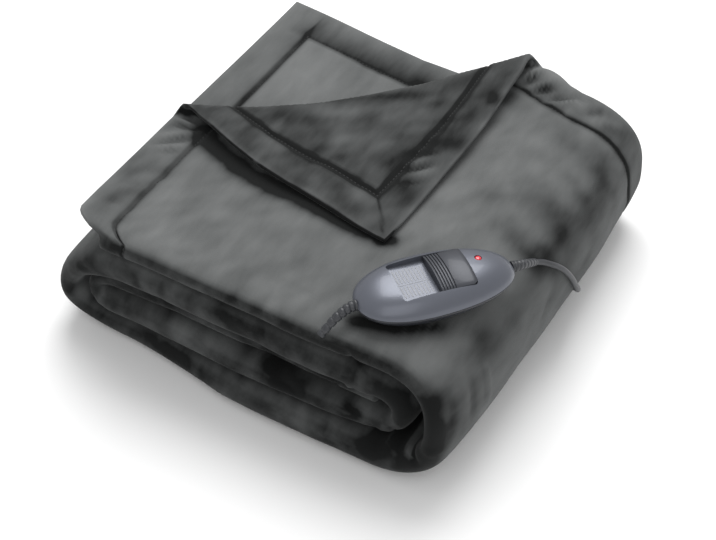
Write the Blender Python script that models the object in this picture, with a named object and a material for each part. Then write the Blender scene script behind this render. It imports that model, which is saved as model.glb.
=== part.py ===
"""Electric heated blanket, folded in four lengthwise and rolled flat, with its hand controller lying on top.

The cloth is one padded plush sheet with a hem all round. It is drawn flat first, as a slab, and then folded by
three rules: across (in four, book fashion), along (a flat roll of five laps) and at one corner (turned back).
Lengths in the tables are millimetres; the model is in metres, with +Z up and the origin under its middle.
"""

import math
from collections import namedtuple

import bmesh
import bpy
from mathutils import Euler, Matrix, Vector

MM = 0.001
SHARP_FROM = math.radians(40.0)

# ---- cloth -------------------------------------------------------------------------------------------------
CLOTH_THICK = 3.8  # both plush faces and the wadding between them
CLOTH_LOFT = 0.1  # how much the cloth swells for each millimetre that its lap is higher than LAP_SNUG
LAP_SNUG = 20.0
HEM_LINE = 6.0  # from the hem to the first cut of the sheet
RIM_PROUD = 0.45  # the rounded edge stands this share of the thickness past the last full section

# One row for each lap of the roll, outermost first. Heights are the lap's under side and top at its two ends,
# front is its folded front edge, hem_top and hem_under are the two open edges at the back, and fold_back is
# the closed fold at the back. front_in, top_in and under_in are how far these come in by the lap's end.
Lap = namedtuple(
    "Lap",
    "x_start x_end low_start high_start low_end high_end "
    "front front_in hem_top hem_under fold_back top_in under_in cuts",
)
LAPS = (
    Lap(-151.5, 116.0, 103.0, 122.0, 99.5, 122.0, -170.0, 0.0, 179.5, 152.5, 150.0, 19.5, 16.0, 7),
    Lap(116.0, -124.0, 0.0, 31.0, 0.0, 22.0, -177.0, 15.0, 172.0, 176.0, 165.0, 0.0, 0.0, 4),
    Lap(-105.0, 113.0, 75.0, 101.5, 69.0, 98.0, -171.0, 0.0, 153.0, 164.0, 156.0, 0.0, 10.0, 4),
    Lap(113.0, -131.0, 32.0, 50.0, 24.0, 48.5, -169.0, 5.0, 172.0, 168.0, 160.0, 0.0, 0.0, 3),
    Lap(-126.0, 108.0, 49.8, 70.0, 51.5, 68.0, -158.0, 0.0, 168.0, 164.0, 158.0, 0.0, 0.0, 3),
)
FRONT_IN_FROM = 0.4  # share of the lap from which its front edge comes in
TOP_IN_FROM = 0.7  # the same for its upper hem
UNDER_IN_TO = 0.5  # share of the lap up to which its other two back edges come in

# One row for each turn between two laps: how far the middle of the strip swings out past the first lap's end,
# how much the strip is squeezed there, the fullness of the curve before and after its furthest point, the share of
# its height at which that lies, and how far its front and back ends draw in.
Turn = namedtuple("Turn", "bulge squeeze full_before full_after waist draw_in draw_back cuts")
TURNS = (
    Turn(54.5, 0.31, 2.6, 2.6, 0.5, 9.0, 8.0, 10),
    Turn(51.0, 0.30, 2.5, 1.8, 0.31, 4.0, 2.0, 9),
    Turn(21.5, 0.26, 2.1, 2.1, 0.5, 2.0, 2.0, 6),
    Turn(14.0, 0.28, 2.0, 2.0, 0.5, 0.0, 0.0, 5),
)
DRAW_IN_REACH = 30.0  # how far behind the front edge a turn is drawn in
DRAW_BACK_REACH = 90.0  # how far before the back edge it is

# The top lap's front left corner is drawn in: how far, from where forward, and over what width of the lap.
CORNER_IN = 30.0
CORNER_FROM = -152.0
CORNER_WIDE = 75.0
CORNER_SHARP = 2
CORNER_UNDER = 8.0  # how much further back the strip's middle is drawn in than its top layer

# Across the sheet: top layer, front fold, ground layer, back fold, third layer, inner fold, second layer.
FRONT_FOLD_DEEP = 14.0
INNER_FOLD_FORE = 4.5  # how far before the start of the front fold the inner fold starts
LAYER_CUTS = (8, 3, 3, 3)
FOLD_CUTS = (6, 4, 4)
NOMINAL_PITCH = 6.2  # between the middles of neighbouring layers, for laying the sheet out flat

# The turned-back corner: its crease runs from the left hem to the back hem, rolled tight at the left end.
CREASE_START = (-152.5, -18.0)
CREASE_END = (57.0, 167.5)
CREASE_BOW = 20.5  # how far the crease bends towards the middle of the blanket
BOW_SKEW = 0.78
ROLL_START = 4.4
ROLL_END = 10.5
ROLL_GROWTH = 3.0
FLAP_REST = 4.9  # middle of the flap above the middle of the layer that it lies on
FLAP_FALL = 175.0
FLAP_DRIFT = (-0.053, 0.014)  # the corner slides this far for each millimetre from the crease
SNAP = 0.05
ROLL_CUTS = (-1.0, -0.5, 0.0, 0.5, 1.0)
FLAP_CUTS = (28.0, 50.0, 78.0)
FLAP_ON_TURN = 0.3  # how far past the top lap the corner's rule still holds, as a share of the turn
ROLL_BEYOND = 1.15  # the roll widens up to this share of the crease

# ---- controller ---------------------------------------------------------------------------------------------
HANDSET_AT = (122.5, -102.0, 123.0)  # under the middle of its base
HANDSET_TURN = math.radians(52.0)
HANDSET_DIP = math.radians(3.0)  # its mains end lies lower, on the turn of the blanket
HANDSET_LONG = 122.0
HANDSET_WIDE = 58.0
EGG = 0.10  # how much wider the outline is towards its blanket end than towards its mains end
OUTLINE_FULL = 2.3
OUTLINE_SIDES = 40

# The shells are lofted through rings of the same outline: their height and how far in they lie.
Ring = namedtuple("Ring", "high scale")
LOWER_RINGS = (Ring(0.0, 0.68), Ring(1.0, 0.78), Ring(3.6, 0.88), Ring(7.2, 0.96), Ring(10.85, 1.0))
UPPER_RINGS = (
    Ring(11.15, 1.0),
    Ring(13.6, 0.985),
    Ring(17.0, 0.935),
    Ring(20.6, 0.85),
    Ring(23.6, 0.72),
    Ring(25.6, 0.54),
    Ring(26.7, 0.30),
)

TRACK_FROM = -32.0
TRACK_TO = 25.0
TRACK_WIDE = 38.0
TRACK_FLOOR = 20.2
TRACK_CORNER = 3.0
CORNER_CUTS = 4
CUT_OVER = 5.0
SLIDER_FROM = -3.0
SLIDER_PLAY = 0.3
SLIDER_TOP = 27.3
SLIDER_CROWN = 2.9
SLIDER_ARC_CUTS = 6
GRIP_FROM = -1.6
GRIP_RIBS = 5
GRIP_PITCH = 2.2
GRIP_GROOVE = 1.0
GRIP_DEEP = 0.9
GROOVE_SLOPE = 0.2

LENS_AT = (34.0, 3.5)
LENS_RADIUS = 2.5
LENS_FLOOR = 21.0
LENS_RINGS = (Ring(21.3, 1.0), Ring(24.5, 1.0), Ring(25.2, 0.8), Ring(25.5, 0.4))
LENS_SIDES = 16

# ---- strain reliefs, mains cord and plug --------------------------------------------------------------------
GAP = 0.3  # between pieces that touch
CORD_THICK = 4.6
PARTING = 11.0  # both leads leave the controller at its parting line
RELIEF_ROOT_RADIUS = 4.3
RELIEF_TIP_RADIUS = 2.9
RELIEF_GROOVE = 0.75
RELIEF_SIDES = 12
RELIEF_STEPS = 21
RELIEF_PITCH = 3  # steps from one rib to the next

# Both reliefs leave the controller straight and then bend to their tips: the first into the blanket's front
# fold, the second towards the turn of the blanket.
RELIEF_STRAIGHT = 11.0  # from the controller to the middle of the bend
BLANKET_RELIEF_TIP = (70.5, -172.2, 119.2)
MAINS_RELIEF_TIP = (164.7, -23.4, 111.8)

# The mains cord from its relief, over the turn of the blanket, along the floor under it and round the back.
CORD_ROUTE = (
    (164.9, -22.1, 110.9),
    (168.4, -14.7, 106.1),
    (172.4, -8.9, 101.0),
    (175.6, -3.3, 95.4),
    (178.4, 2.0, 88.9),
    (180.5, 8.0, 79.9),
    (181.6, 14.0, 70.1),
    (181.7, 20.5, 59.2),
    (181.0, 28.0, 48.1),
    (178.5, 37.0, 36.6),
    (173.6, 47.0, 25.9),
    (165.2, 58.0, 15.0),
    (157.0, 70.0, 6.4),
    (154.2, 84.0, 2.6),
    (153.4, 100.0, 2.5),
    (153.4, 130.0, 2.5),
    (153.5, 163.0, 2.5),
    (151.5, 186.0, 2.5),
    (145.0, 205.0, 2.5),
    (134.5, 217.0, 2.5),
    (123.0, 221.0, 2.5),
)
PLUG_ROUTE = (
    (49.4, 221.0, 2.5),
    (40.0, 220.0, 2.6),
    (31.0, 216.5, 3.9),
    (22.9, 214.0, 6.5),
)
CORD_STEP = 8.5  # between the points read from a route
ROUTE_FINE = 12

COIL_AT = (86.0, 221.0)
COIL_MIDDLE = 27.0  # radius at the middle of its turns
COIL_ACROSS = 4  # turns side by side
COIL_UP = 3  # turns on each other
COIL_SIDES = 36
COIL_CHAMFER = 0.4  # share of the cord's thickness

PLUG_AT = (-3.5, 214.0, 6.6)
PLUG_WIDE = 26.0
PLUG_HIGH = 13.0
PLUG_SIDES = 24
PLUG_FULL_WIDE = 0.7  # the lower these two, the squarer its section
PLUG_FULL_HIGH = 0.5

# The plug's sections, from its neck to its face: distance from its middle and share of its width and height.
Section = namedtuple("Section", "along wide high")
PLUG_SECTIONS = (
    Section(25.0, 0.30, 0.50),
    Section(18.0, 0.36, 0.60),
    Section(11.0, 0.78, 0.90),
    Section(4.0, 0.97, 1.0),
    Section(-16.5, 1.0, 1.0),
    Section(-18.0, 0.94, 0.88),
)
PIN_SPREAD = 19.0
PIN_RADIUS = 2.0
PIN_LONG = 19.0
PIN_TIP = 1.5  # length of the tapered tip
PIN_TIP_SCALE = 0.55
PIN_SIDES = 12


def lerp(a, b, share):
    """The value a share of the way from a to b."""
    return a + (b - a) * share


def ease(share):
    """0 to 1 with a soft start and end."""
    share = min(max(share, 0.0), 1.0)
    return share * share * (3.0 - 2.0 * share)


# ---- along the strip: the flat roll --------------------------------------------------------------------------
Place = namedtuple("Place", "x z nx nz pitch thick front hem_top hem_under fold_back draw back")


def strip_end(lap, at_end):
    """Middle height and full height of a lap at its start or its end."""
    low, high = (lap.low_end, lap.high_end) if at_end else (lap.low_start, lap.high_start)
    return (low + high) / 2.0, high - low


def cloth_thick(strip_high):
    """The cloth is loftier where its lap is loose."""
    return CLOTH_THICK + CLOTH_LOFT * max(0.0, strip_high - LAP_SNUG)


def edges_of(lap, share):
    """A lap's front edge, both hems and closed fold at a share of its length."""
    front_in = lap.front_in * ease((share - FRONT_IN_FROM) / (1.0 - FRONT_IN_FROM))
    top_in = lap.top_in * min(max((share - TOP_IN_FROM) / (1.0 - TOP_IN_FROM), 0.0), 1.0)
    under_in = lap.under_in * min(share / UNDER_IN_TO, 1.0)
    return lap.front + front_in, lap.hem_top - top_in, lap.hem_under - under_in, lap.fold_back - under_in


def place_on_lap(index, share):
    """The strip's middle, outward direction and edges on a straight lap."""
    lap = LAPS[index]
    z_start, high_start = strip_end(lap, False)
    z_end, high_end = strip_end(lap, True)
    high = lerp(high_start, high_end, share)
    thick = cloth_thick(high)
    facing = -1.0 if lap.x_end < lap.x_start else 1.0
    return Place(
        lerp(lap.x_start, lap.x_end, share), lerp(z_start, z_end, share), 0.0, facing,
        (high - thick) / 3.0, thick, *edges_of(lap, share), 0.0, 0.0,
    )


def place_on_turn(index, share):
    """The same on the turn that follows a lap: half of a full oval."""
    turn, before, after = TURNS[index], LAPS[index], LAPS[index + 1]
    z_start, high_start = strip_end(before, True)
    z_end, high_end = strip_end(after, False)
    angle = math.pi * share
    full = turn.full_before if share < 0.5 else turn.full_after
    power = 2.0 / full
    out = math.sin(angle) ** power if 0.0 < share < 1.0 else 0.0
    rise = math.copysign(abs(math.cos(angle)) ** power, math.cos(angle))
    side = 1.0 if before.x_end > before.x_start else -1.0
    waist = lerp(z_start, z_end, turn.waist)
    if share < 0.5:
        base, reach, half = before.x_end, turn.bulge, z_start - waist
    else:
        base, reach, half = after.x_start, side * (before.x_end - after.x_start) + turn.bulge, waist - z_end
    slope_x = out ** (full - 1.0) / reach
    slope_z = math.copysign(abs(rise) ** (full - 1.0), rise) / half
    size = math.hypot(slope_x, slope_z)
    bend = math.sin(angle)
    high = lerp(high_start, high_end, share) * (1.0 - turn.squeeze * bend)
    thick = cloth_thick(high)
    soft = ease(share)
    edges = (lerp(a, b, soft) for a, b in zip(edges_of(before, 1.0), edges_of(after, 0.0), strict=True))
    return Place(
        base + side * reach * out, waist + half * rise, side * slope_x / size, slope_z / size,
        (high - thick) / 3.0, thick, *edges, turn.draw_in * bend, turn.draw_back * bend,
    )


def strip_lengths():
    """Nominal length of each lap and turn, in order, for laying the sheet out flat."""
    lengths = []
    for index, lap in enumerate(LAPS):
        lengths.append(abs(lap.x_end - lap.x_start))
        if index < len(TURNS):
            half = abs(strip_end(lap, True)[0] - strip_end(LAPS[index + 1], False)[0]) / 2.0
            mean = math.sqrt((half**2 + TURNS[index].bulge ** 2) / 2.0)
            lengths.append(math.pi * mean)
    return lengths


STRIP_LENGTHS = strip_lengths()
SHEET_LONG = sum(STRIP_LENGTHS)


def place_along(v):
    """The strip's place at a distance v from the hem at the top lap's left end."""
    last = len(STRIP_LENGTHS) - 1
    for index, length in enumerate(STRIP_LENGTHS):
        if v <= length or index == last:
            share = v / length
            return place_on_turn(index // 2, share) if index % 2 else place_on_lap(index // 2, share)
        v -= length


# ---- across the strip: folded in four ------------------------------------------------------------------------
def layer_lengths():
    """Nominal length of each layer and fold, in order, for laying the sheet out flat."""
    top = LAPS[0]
    front = top.front + FRONT_FOLD_DEEP
    inner = front - INNER_FOLD_FORE
    fold = math.pi * math.sqrt((FRONT_FOLD_DEEP**2 + (1.5 * NOMINAL_PITCH) ** 2) / 2.0)
    small = math.pi * NOMINAL_PITCH / 2.0
    return (
        top.hem_top - front, fold, top.fold_back - front, small,
        top.fold_back - inner, small, top.hem_under - inner,
    )


LAYER_LENGTHS = layer_lengths()
SHEET_WIDE = sum(LAYER_LENGTHS)


def across(u, place):
    """Position (y, height in the strip) and outward direction at a distance u from the top layer's hem."""
    last = len(LAYER_LENGTHS) - 1
    for index, length in enumerate(LAYER_LENGTHS):
        if u <= length or index == last:
            share = u / length
            break
        u -= length
    pitch = place.pitch
    front = place.front + FRONT_FOLD_DEEP
    inner = front - INNER_FOLD_FORE
    angle = math.pi * share
    if index == 0:
        return lerp(place.hem_top, front, share), 1.5 * pitch, 0.0, 1.0
    if index == 1:
        y_out, n_out = -math.sin(angle) / FRONT_FOLD_DEEP, math.cos(angle) / (1.5 * pitch)
        size = math.hypot(y_out, n_out)
        return (
            front - FRONT_FOLD_DEEP * math.sin(angle), 1.5 * pitch * math.cos(angle),
            y_out / size, n_out / size,
        )
    if index == 2:
        return lerp(front, place.fold_back, share), -1.5 * pitch, 0.0, -1.0
    if index == 3:
        return (
            place.fold_back + pitch / 2.0 * math.sin(angle), -pitch - pitch / 2.0 * math.cos(angle),
            math.sin(angle), -math.cos(angle),
        )
    if index == 4:
        return lerp(place.fold_back, inner, share), -0.5 * pitch, 0.0, 1.0
    if index == 5:
        return (
            inner - pitch / 2.0 * math.sin(angle), -pitch / 2.0 * math.cos(angle),
            math.sin(angle), math.cos(angle),
        )
    return lerp(inner, place.hem_under, share), 0.5 * pitch, 0.0, -1.0


# ---- the turned-back corner ----------------------------------------------------------------------------------
CREASE_LONG = math.dist(CREASE_START, CREASE_END)
CREASE_WAY = ((CREASE_END[0] - CREASE_START[0]) / CREASE_LONG, (CREASE_END[1] - CREASE_START[1]) / CREASE_LONG)
CREASE_OUT = (-CREASE_WAY[1], CREASE_WAY[0])


def roll_radius(along):
    """Radius of the roll at a distance along the crease."""
    share = min(max(along / CREASE_LONG, 0.0), ROLL_BEYOND)
    return lerp(ROLL_START, ROLL_END, share**ROLL_GROWTH)


def crease_bow(along):
    """How far the crease bends in at a distance along it."""
    share = min(max(along / CREASE_LONG, 0.0), 1.0)
    return CREASE_BOW * math.sin(math.pi * share**BOW_SKEW)


def turn_back(x, y, rise):
    """Rolls a point of the top layer over the crease. rise is its height over the middle of that layer."""
    dx, dy = x - CREASE_START[0], y - CREASE_START[1]
    along = dx * CREASE_WAY[0] + dy * CREASE_WAY[1]
    bow = crease_bow(along)
    past = dx * CREASE_OUT[0] + dy * CREASE_OUT[1] + bow
    radius = roll_radius(along)
    reach = math.pi / 2.0 * radius
    if past <= -reach:
        return x, y, rise
    if past < reach:
        angle = (past + reach) / radius
        place = -reach + (radius - rise) * math.sin(angle)
        lift = radius - (radius - rise) * math.cos(angle)
        drift = 0.0
    else:
        place = -past
        drop = 1.0 - ease((past - reach) / FLAP_FALL)
        lift = lerp(FLAP_REST, 2.0 * radius, drop) - rise
        drift = past - reach
    place -= bow
    return (
        CREASE_START[0] + along * CREASE_WAY[0] + place * CREASE_OUT[0] + drift * FLAP_DRIFT[0],
        CREASE_START[1] + along * CREASE_WAY[1] + place * CREASE_OUT[1] + drift * FLAP_DRIFT[1],
        lift,
    )


TOP_LAYER_TO = LAYER_LENGTHS[0]
FLAP_LAP_TO = STRIP_LENGTHS[0] + FLAP_ON_TURN * STRIP_LENGTHS[1]


def fold(u, v, w):
    """Takes a point of the flat sheet, w above its middle, to its place in the folded blanket."""
    place = place_along(v)
    y, high, y_out, n_out = across(u, place)
    rise = w * place.thick
    y += rise * y_out
    high += rise * n_out
    high -= place.draw * math.exp(-max(0.0, y - place.front) / DRAW_IN_REACH)
    high -= place.back * math.exp(-max(0.0, place.hem_top - y) / DRAW_BACK_REACH)
    x, z = place.x + high * place.nx, place.z + high * place.nz
    under = max(0.0, 1.0 - high / (1.5 * place.pitch))
    corner = min(max((CORNER_FROM - y + CORNER_UNDER * under) / (CORNER_FROM - LAPS[0].front), 0.0), 1.0)
    x += CORNER_IN * corner**CORNER_SHARP * (1.0 - ease(v / CORNER_WIDE))
    if u < TOP_LAYER_TO and v < FLAP_LAP_TO:
        middle = LAPS[0].high_start - cloth_thick(LAPS[0].high_start - LAPS[0].low_start) / 2.0
        x, y, lift = turn_back(x, y, z - middle)
        z = middle + lift
    return Vector((x, y, z)) * MM


def grid_lines(lengths, cuts):
    """Where the sheet is cut in one direction: even cuts on each stretch, and one more line by each hem."""
    lines, start = [], 0.0
    for length, count in zip(lengths, cuts, strict=True):
        lines += [start + length * k / count for k in range(count)]
        start += length
    lines += [start, HEM_LINE, start - HEM_LINE]
    return sorted(set(lines))


def alternate(laps, turns):
    """Laps and turns in the order in which they follow each other."""
    mixed = [laps[0]]
    for lap, turn in zip(laps[1:], turns, strict=True):
        mixed += [turn, lap]
    return mixed


def slab(us, vs):
    """The flat sheet in u, v and share of thickness: two faces, closed by a rounded rim."""
    bm = bmesh.new()
    faces = {}
    for side in (0.5, -0.5):
        faces[side] = [[bm.verts.new((u, v, side)) for v in vs] for u in us]
    for i in range(len(us) - 1):
        for j in range(len(vs) - 1):
            outer, inner = faces[0.5], faces[-0.5]
            bm.faces.new((outer[i][j], outer[i + 1][j], outer[i + 1][j + 1], outer[i][j + 1]))
            bm.faces.new((inner[i][j], inner[i][j + 1], inner[i + 1][j + 1], inner[i + 1][j]))
    last_i, last_j = len(us) - 1, len(vs) - 1
    ring = [(0, j) for j in range(last_j)] + [(i, last_j) for i in range(last_i)]
    ring += [(last_i, j) for j in range(last_j, 0, -1)] + [(i, 0) for i in range(last_i, 0, -1)]
    proud = RIM_PROUD * CLOTH_THICK
    middle = []
    for i, j in ring:
        u = us[i] + proud * ((i == last_i) - (i == 0))
        v = vs[j] + proud * ((j == last_j) - (j == 0))
        middle.append(bm.verts.new((u, v, 0.0)))
    for k, (i, j) in enumerate(ring):
        i2, j2 = ring[(k + 1) % len(ring)]
        near, far = middle[k], middle[(k + 1) % len(ring)]
        bm.faces.new((faces[0.5][i][j], faces[0.5][i2][j2], far, near))
        bm.faces.new((near, far, faces[-0.5][i2][j2], faces[-0.5][i][j]))
    return bm


def top_hem_at(v):
    """Where the top layer's back hem lies at a distance v along the sheet."""
    return edges_of(LAPS[0], min(max(v / STRIP_LENGTHS[0], 0.0), 1.0))[1]


def laid_open(u, v):
    """Where a point of the top layer lies in plan before its corner is turned back."""
    share = u / LAYER_LENGTHS[0]
    return LAPS[0].x_start + v, lerp(top_hem_at(v), LAPS[0].front + FRONT_FOLD_DEEP, share)


def gathered(x, y):
    """The flat-sheet point (u, v) that lies at a place in plan."""
    v = x - LAPS[0].x_start
    hem = top_hem_at(v)
    return LAYER_LENGTHS[0] * (hem - y) / (hem - LAPS[0].front - FRONT_FOLD_DEEP), v


def straighten(x, y, sign):
    """Shifts a place in plan so that the bowed crease lies straight, or back again with a sign of -1."""
    along = (x - CREASE_START[0]) * CREASE_WAY[0] + (y - CREASE_START[1]) * CREASE_WAY[1]
    shift = sign * crease_bow(along)
    return x + shift * CREASE_OUT[0], y + shift * CREASE_OUT[1]


def crease_point(along, past):
    """A place in plan, from its place by the straightened crease."""
    x = CREASE_START[0] + along * CREASE_WAY[0] + past * CREASE_OUT[0]
    y = CREASE_START[1] + along * CREASE_WAY[1] + past * CREASE_OUT[1]
    return Vector((x, y, 0.0))


def top_faces(bm):
    """The faces of the top layer on the top lap."""
    return [
        face for face in bm.faces
        if all(v.co.x <= TOP_LAYER_TO + SNAP and v.co.y <= FLAP_LAP_TO for v in face.verts)
    ]


def cut_crease(bm):
    """Adds edges along the roll of the turned-back corner, on the top layer alone."""
    half_turn = math.pi / 2.0
    lines = [(share * half_turn * ROLL_START, share * half_turn * ROLL_END) for share in ROLL_CUTS]
    lines += [(half_turn * ROLL_START + past, half_turn * ROLL_END + past) for past in FLAP_CUTS]
    region = top_faces(bm)
    corners = {vert for face in region for vert in face.verts}
    for vert in corners:
        vert.co.x, vert.co.y = straighten(*laid_open(vert.co.x, vert.co.y), 1.0)
    for past_start, past_end in lines:
        start, end = crease_point(0.0, past_start), crease_point(CREASE_LONG, past_end)
        way = end - start
        geometry = set(region)
        for face in region:
            geometry.update(face.verts)
            geometry.update(face.edges)
        cut = bmesh.ops.bisect_plane(
            bm, geom=list(geometry), plane_co=start, plane_no=(way.y, -way.x, 0.0), dist=SNAP
        )
        region = [part for part in cut["geom"] if isinstance(part, bmesh.types.BMFace)]
    corners = {vert for face in region for vert in face.verts}
    for vert in corners:
        vert.co.x, vert.co.y = gathered(*straighten(vert.co.x, vert.co.y, -1.0))


def finished_object(bm, name, material):
    """Makes an object of a mesh, with its faces turned outwards."""
    bmesh.ops.recalc_face_normals(bm, faces=bm.faces[:])
    mesh = bpy.data.meshes.new(name)
    bm.to_mesh(mesh)
    bm.free()
    mesh.shade_smooth()
    mesh.set_sharp_from_angle(angle=SHARP_FROM)
    mesh.materials.append(material)
    made = bpy.data.objects.new(name, mesh)
    bpy.context.scene.collection.objects.link(made)
    return made


def plain_material(name, colour, roughness, metallic=0.0):
    """A Principled material of one colour."""
    material = bpy.data.materials.new(name)
    material.use_nodes = True
    shader = material.node_tree.nodes["Principled BSDF"]
    shader.inputs["Base Color"].default_value = (*colour, 1.0)
    shader.inputs["Roughness"].default_value = roughness
    shader.inputs["Metallic"].default_value = metallic
    material.diffuse_color = (*colour, 1.0)
    return material


def build_blanket(material):
    """The whole cloth, one solid."""
    laps, turns = [lap.cuts for lap in LAPS], [turn.cuts for turn in TURNS]
    us = grid_lines(LAYER_LENGTHS, alternate(LAYER_CUTS, FOLD_CUTS))
    vs = grid_lines(STRIP_LENGTHS, alternate(laps, turns))
    bm = slab(us, vs)
    cut_crease(bm)
    for vert in bm.verts:
        vert.co = fold(*vert.co)
    bmesh.ops.triangulate(bm, faces=bm.faces[:])
    return finished_object(bm, "blanket", material)


def loft(rings, close_ends=True):
    """A closed body through rings of points that have the same count."""
    bm = bmesh.new()
    made = [[bm.verts.new(Vector(point) * MM) for point in ring] for ring in rings]
    count = len(made[0])
    for lower, upper in zip(made, made[1:]):
        for k in range(count):
            bm.faces.new((lower[k], lower[(k + 1) % count], upper[(k + 1) % count], upper[k]))
    if close_ends:
        bm.faces.new(reversed(made[0]))
        bm.faces.new(made[-1])
    return bm


def handset_outline(scale, high):
    """One ring of the controller's oval, wider towards the blanket end."""
    points = []
    power = 2.0 / OUTLINE_FULL
    for k in range(OUTLINE_SIDES):
        angle = 2.0 * math.pi * k / OUTLINE_SIDES
        c, s = math.cos(angle), math.sin(angle)
        x = math.copysign(abs(c) ** power, c)
        y = math.copysign(abs(s) ** power, s) * (1.0 - EGG * x)
        points.append((x * HANDSET_LONG / 2.0 * scale, y * HANDSET_WIDE / 2.0 * scale, high))
    return points


def handset_frame():
    """An empty that holds the controller where it lies."""
    frame = bpy.data.objects.new("handset_frame", None)
    bpy.context.scene.collection.objects.link(frame)
    frame.location = Vector(HANDSET_AT) * MM
    frame.rotation_euler = Euler((0.0, HANDSET_DIP, HANDSET_TURN))
    return frame


def handset_place():
    """The same place as a matrix, in millimetres."""
    turn = Euler((0.0, HANDSET_DIP, HANDSET_TURN)).to_matrix().to_4x4()
    return Matrix.Translation(Vector(HANDSET_AT)) @ turn


def rounded_box(x_from, x_to, wide, low, high, corner):
    """A flat-topped block with round corners in plan, for cutting."""
    rings = []
    for level in (low, high):
        ring = []
        for quarter, (cx, cy) in enumerate(((1, 1), (-1, 1), (-1, -1), (1, -1))):
            x = (x_to - corner) if cx > 0 else (x_from + corner)
            y = cy * (wide / 2.0 - corner)
            for step in range(CORNER_CUTS + 1):
                angle = math.pi / 2.0 * (quarter + step / CORNER_CUTS)
                ring.append((x + corner * math.cos(angle), y + corner * math.sin(angle), level))
        rings.append(ring)
    return loft(rings)


def disc_ring(centre, radius, sides, high):
    """A level ring of points."""
    return [
        (
            centre[0] + radius * math.cos(2.0 * math.pi * k / sides),
            centre[1] + radius * math.sin(2.0 * math.pi * k / sides),
            high,
        )
        for k in range(sides)
    ]


def cut_with(target, bm, name):
    """Takes a shape away from an object with an exact Boolean."""
    mesh = bpy.data.meshes.new(name)
    bmesh.ops.recalc_face_normals(bm, faces=bm.faces[:])
    bm.to_mesh(mesh)
    bm.free()
    cutter = bpy.data.objects.new(name, mesh)
    bpy.context.scene.collection.objects.link(cutter)
    cutter.parent = target.parent
    cutter.hide_render = True
    cutter.display_type = "WIRE"
    modifier = target.modifiers.new(name, "BOOLEAN")
    modifier.operation = "DIFFERENCE"
    modifier.solver = "EXACT"
    modifier.object = cutter


def build_handset(frame, shell, grip, glass):
    """Lower and upper shell, slide control and pilot light."""
    base = [handset_outline(ring.scale, ring.high) for ring in LOWER_RINGS]
    finished_object(loft(base), "handset_lower", shell).parent = frame
    crown = [handset_outline(ring.scale, ring.high) for ring in UPPER_RINGS]
    upper = finished_object(loft(crown), "handset_upper", shell)
    upper.parent = frame
    above = UPPER_RINGS[-1].high + CUT_OVER
    track = rounded_box(TRACK_FROM, TRACK_TO, TRACK_WIDE, TRACK_FLOOR, above, TRACK_CORNER)
    cut_with(upper, track, "track_cutter")
    hole = [disc_ring(LENS_AT, LENS_RADIUS + GAP, LENS_SIDES, high) for high in (LENS_FLOOR, above)]
    cut_with(upper, loft(hole), "lens_cutter")

    slider = finished_object(slider_body(), "slider", grip)
    slider.parent = frame

    dome = [disc_ring(LENS_AT, LENS_RADIUS * ring.scale, LENS_SIDES, ring.high) for ring in LENS_RINGS]
    finished_object(loft(dome), "pilot_light", glass).parent = frame


def slider_body():
    """The slide control: a crowned block with grip ribs across its blanket end."""
    x_from, x_to = SLIDER_FROM, TRACK_TO - SLIDER_PLAY
    half = TRACK_WIDE / 2.0 - SLIDER_PLAY
    stations = [(x_from, 0.0, half)]
    for rib in range(GRIP_RIBS):
        start = GRIP_FROM + rib * GRIP_PITCH
        edges = (start, start + GROOVE_SLOPE, start + GRIP_GROOVE - GROOVE_SLOPE, start + GRIP_GROOVE)
        stations += [(x, deep, half) for x, deep in zip(edges, (0.0, GRIP_DEEP, GRIP_DEEP, 0.0), strict=True)]
    stations += [(x_to - TRACK_CORNER, 0.0, half), (x_to, 0.0, half - TRACK_CORNER)]
    rings = []
    for x, groove, reach in stations:
        ring = [(x, -reach, TRACK_FLOOR + GAP)]
        for step in range(SLIDER_ARC_CUTS + 1):
            y = reach * (-1.0 + 2.0 * step / SLIDER_ARC_CUTS)
            ring.append((x, y, SLIDER_TOP - SLIDER_CROWN * (y / half) ** 2 - groove))
        ring.append((x, reach, TRACK_FLOOR + GAP))
        rings.append(ring)
    return loft(rings)


def bent_line(root, bend, tip, steps):
    """Points and directions along a smooth bend through three places."""
    root, bend, tip = Vector(root), Vector(bend), Vector(tip)
    line = []
    for k in range(steps + 1):
        t = k / steps
        point = root * (1 - t) ** 2 + bend * 2 * t * (1 - t) + tip * t * t
        way = (bend - root) * 2 * (1 - t) + (tip - bend) * 2 * t
        line.append((point, way.normalized()))
    return line


def ring_about(point, way, radius, sides):
    """A ring of points square to a direction."""
    across_way = way.cross(Vector((0.0, 0.0, 1.0))).normalized()
    up = across_way.cross(way)
    angles = [2.0 * math.pi * k / sides for k in range(sides)]
    return [point + (across_way * math.cos(angle) + up * math.sin(angle)) * radius for angle in angles]


def build_relief(name, end, tip, material):
    """A tapered sleeve with ribs round it, from one end of the controller to its tip."""
    place = handset_place()
    root = HANDSET_LONG / 2.0 + GAP
    root, bend = (place @ Vector((end * reach, 0.0, PARTING)) for reach in (root, root + RELIEF_STRAIGHT))
    rings = []
    for k, (point, way) in enumerate(bent_line(root, bend, tip, RELIEF_STEPS)):
        radius = lerp(RELIEF_ROOT_RADIUS, RELIEF_TIP_RADIUS, k / RELIEF_STEPS)
        if k % RELIEF_PITCH == RELIEF_PITCH - 1 and k < RELIEF_STEPS:
            radius -= RELIEF_GROOVE
        rings.append(ring_about(point, way, radius, RELIEF_SIDES))
    return finished_object(loft(rings), name, material)


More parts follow.
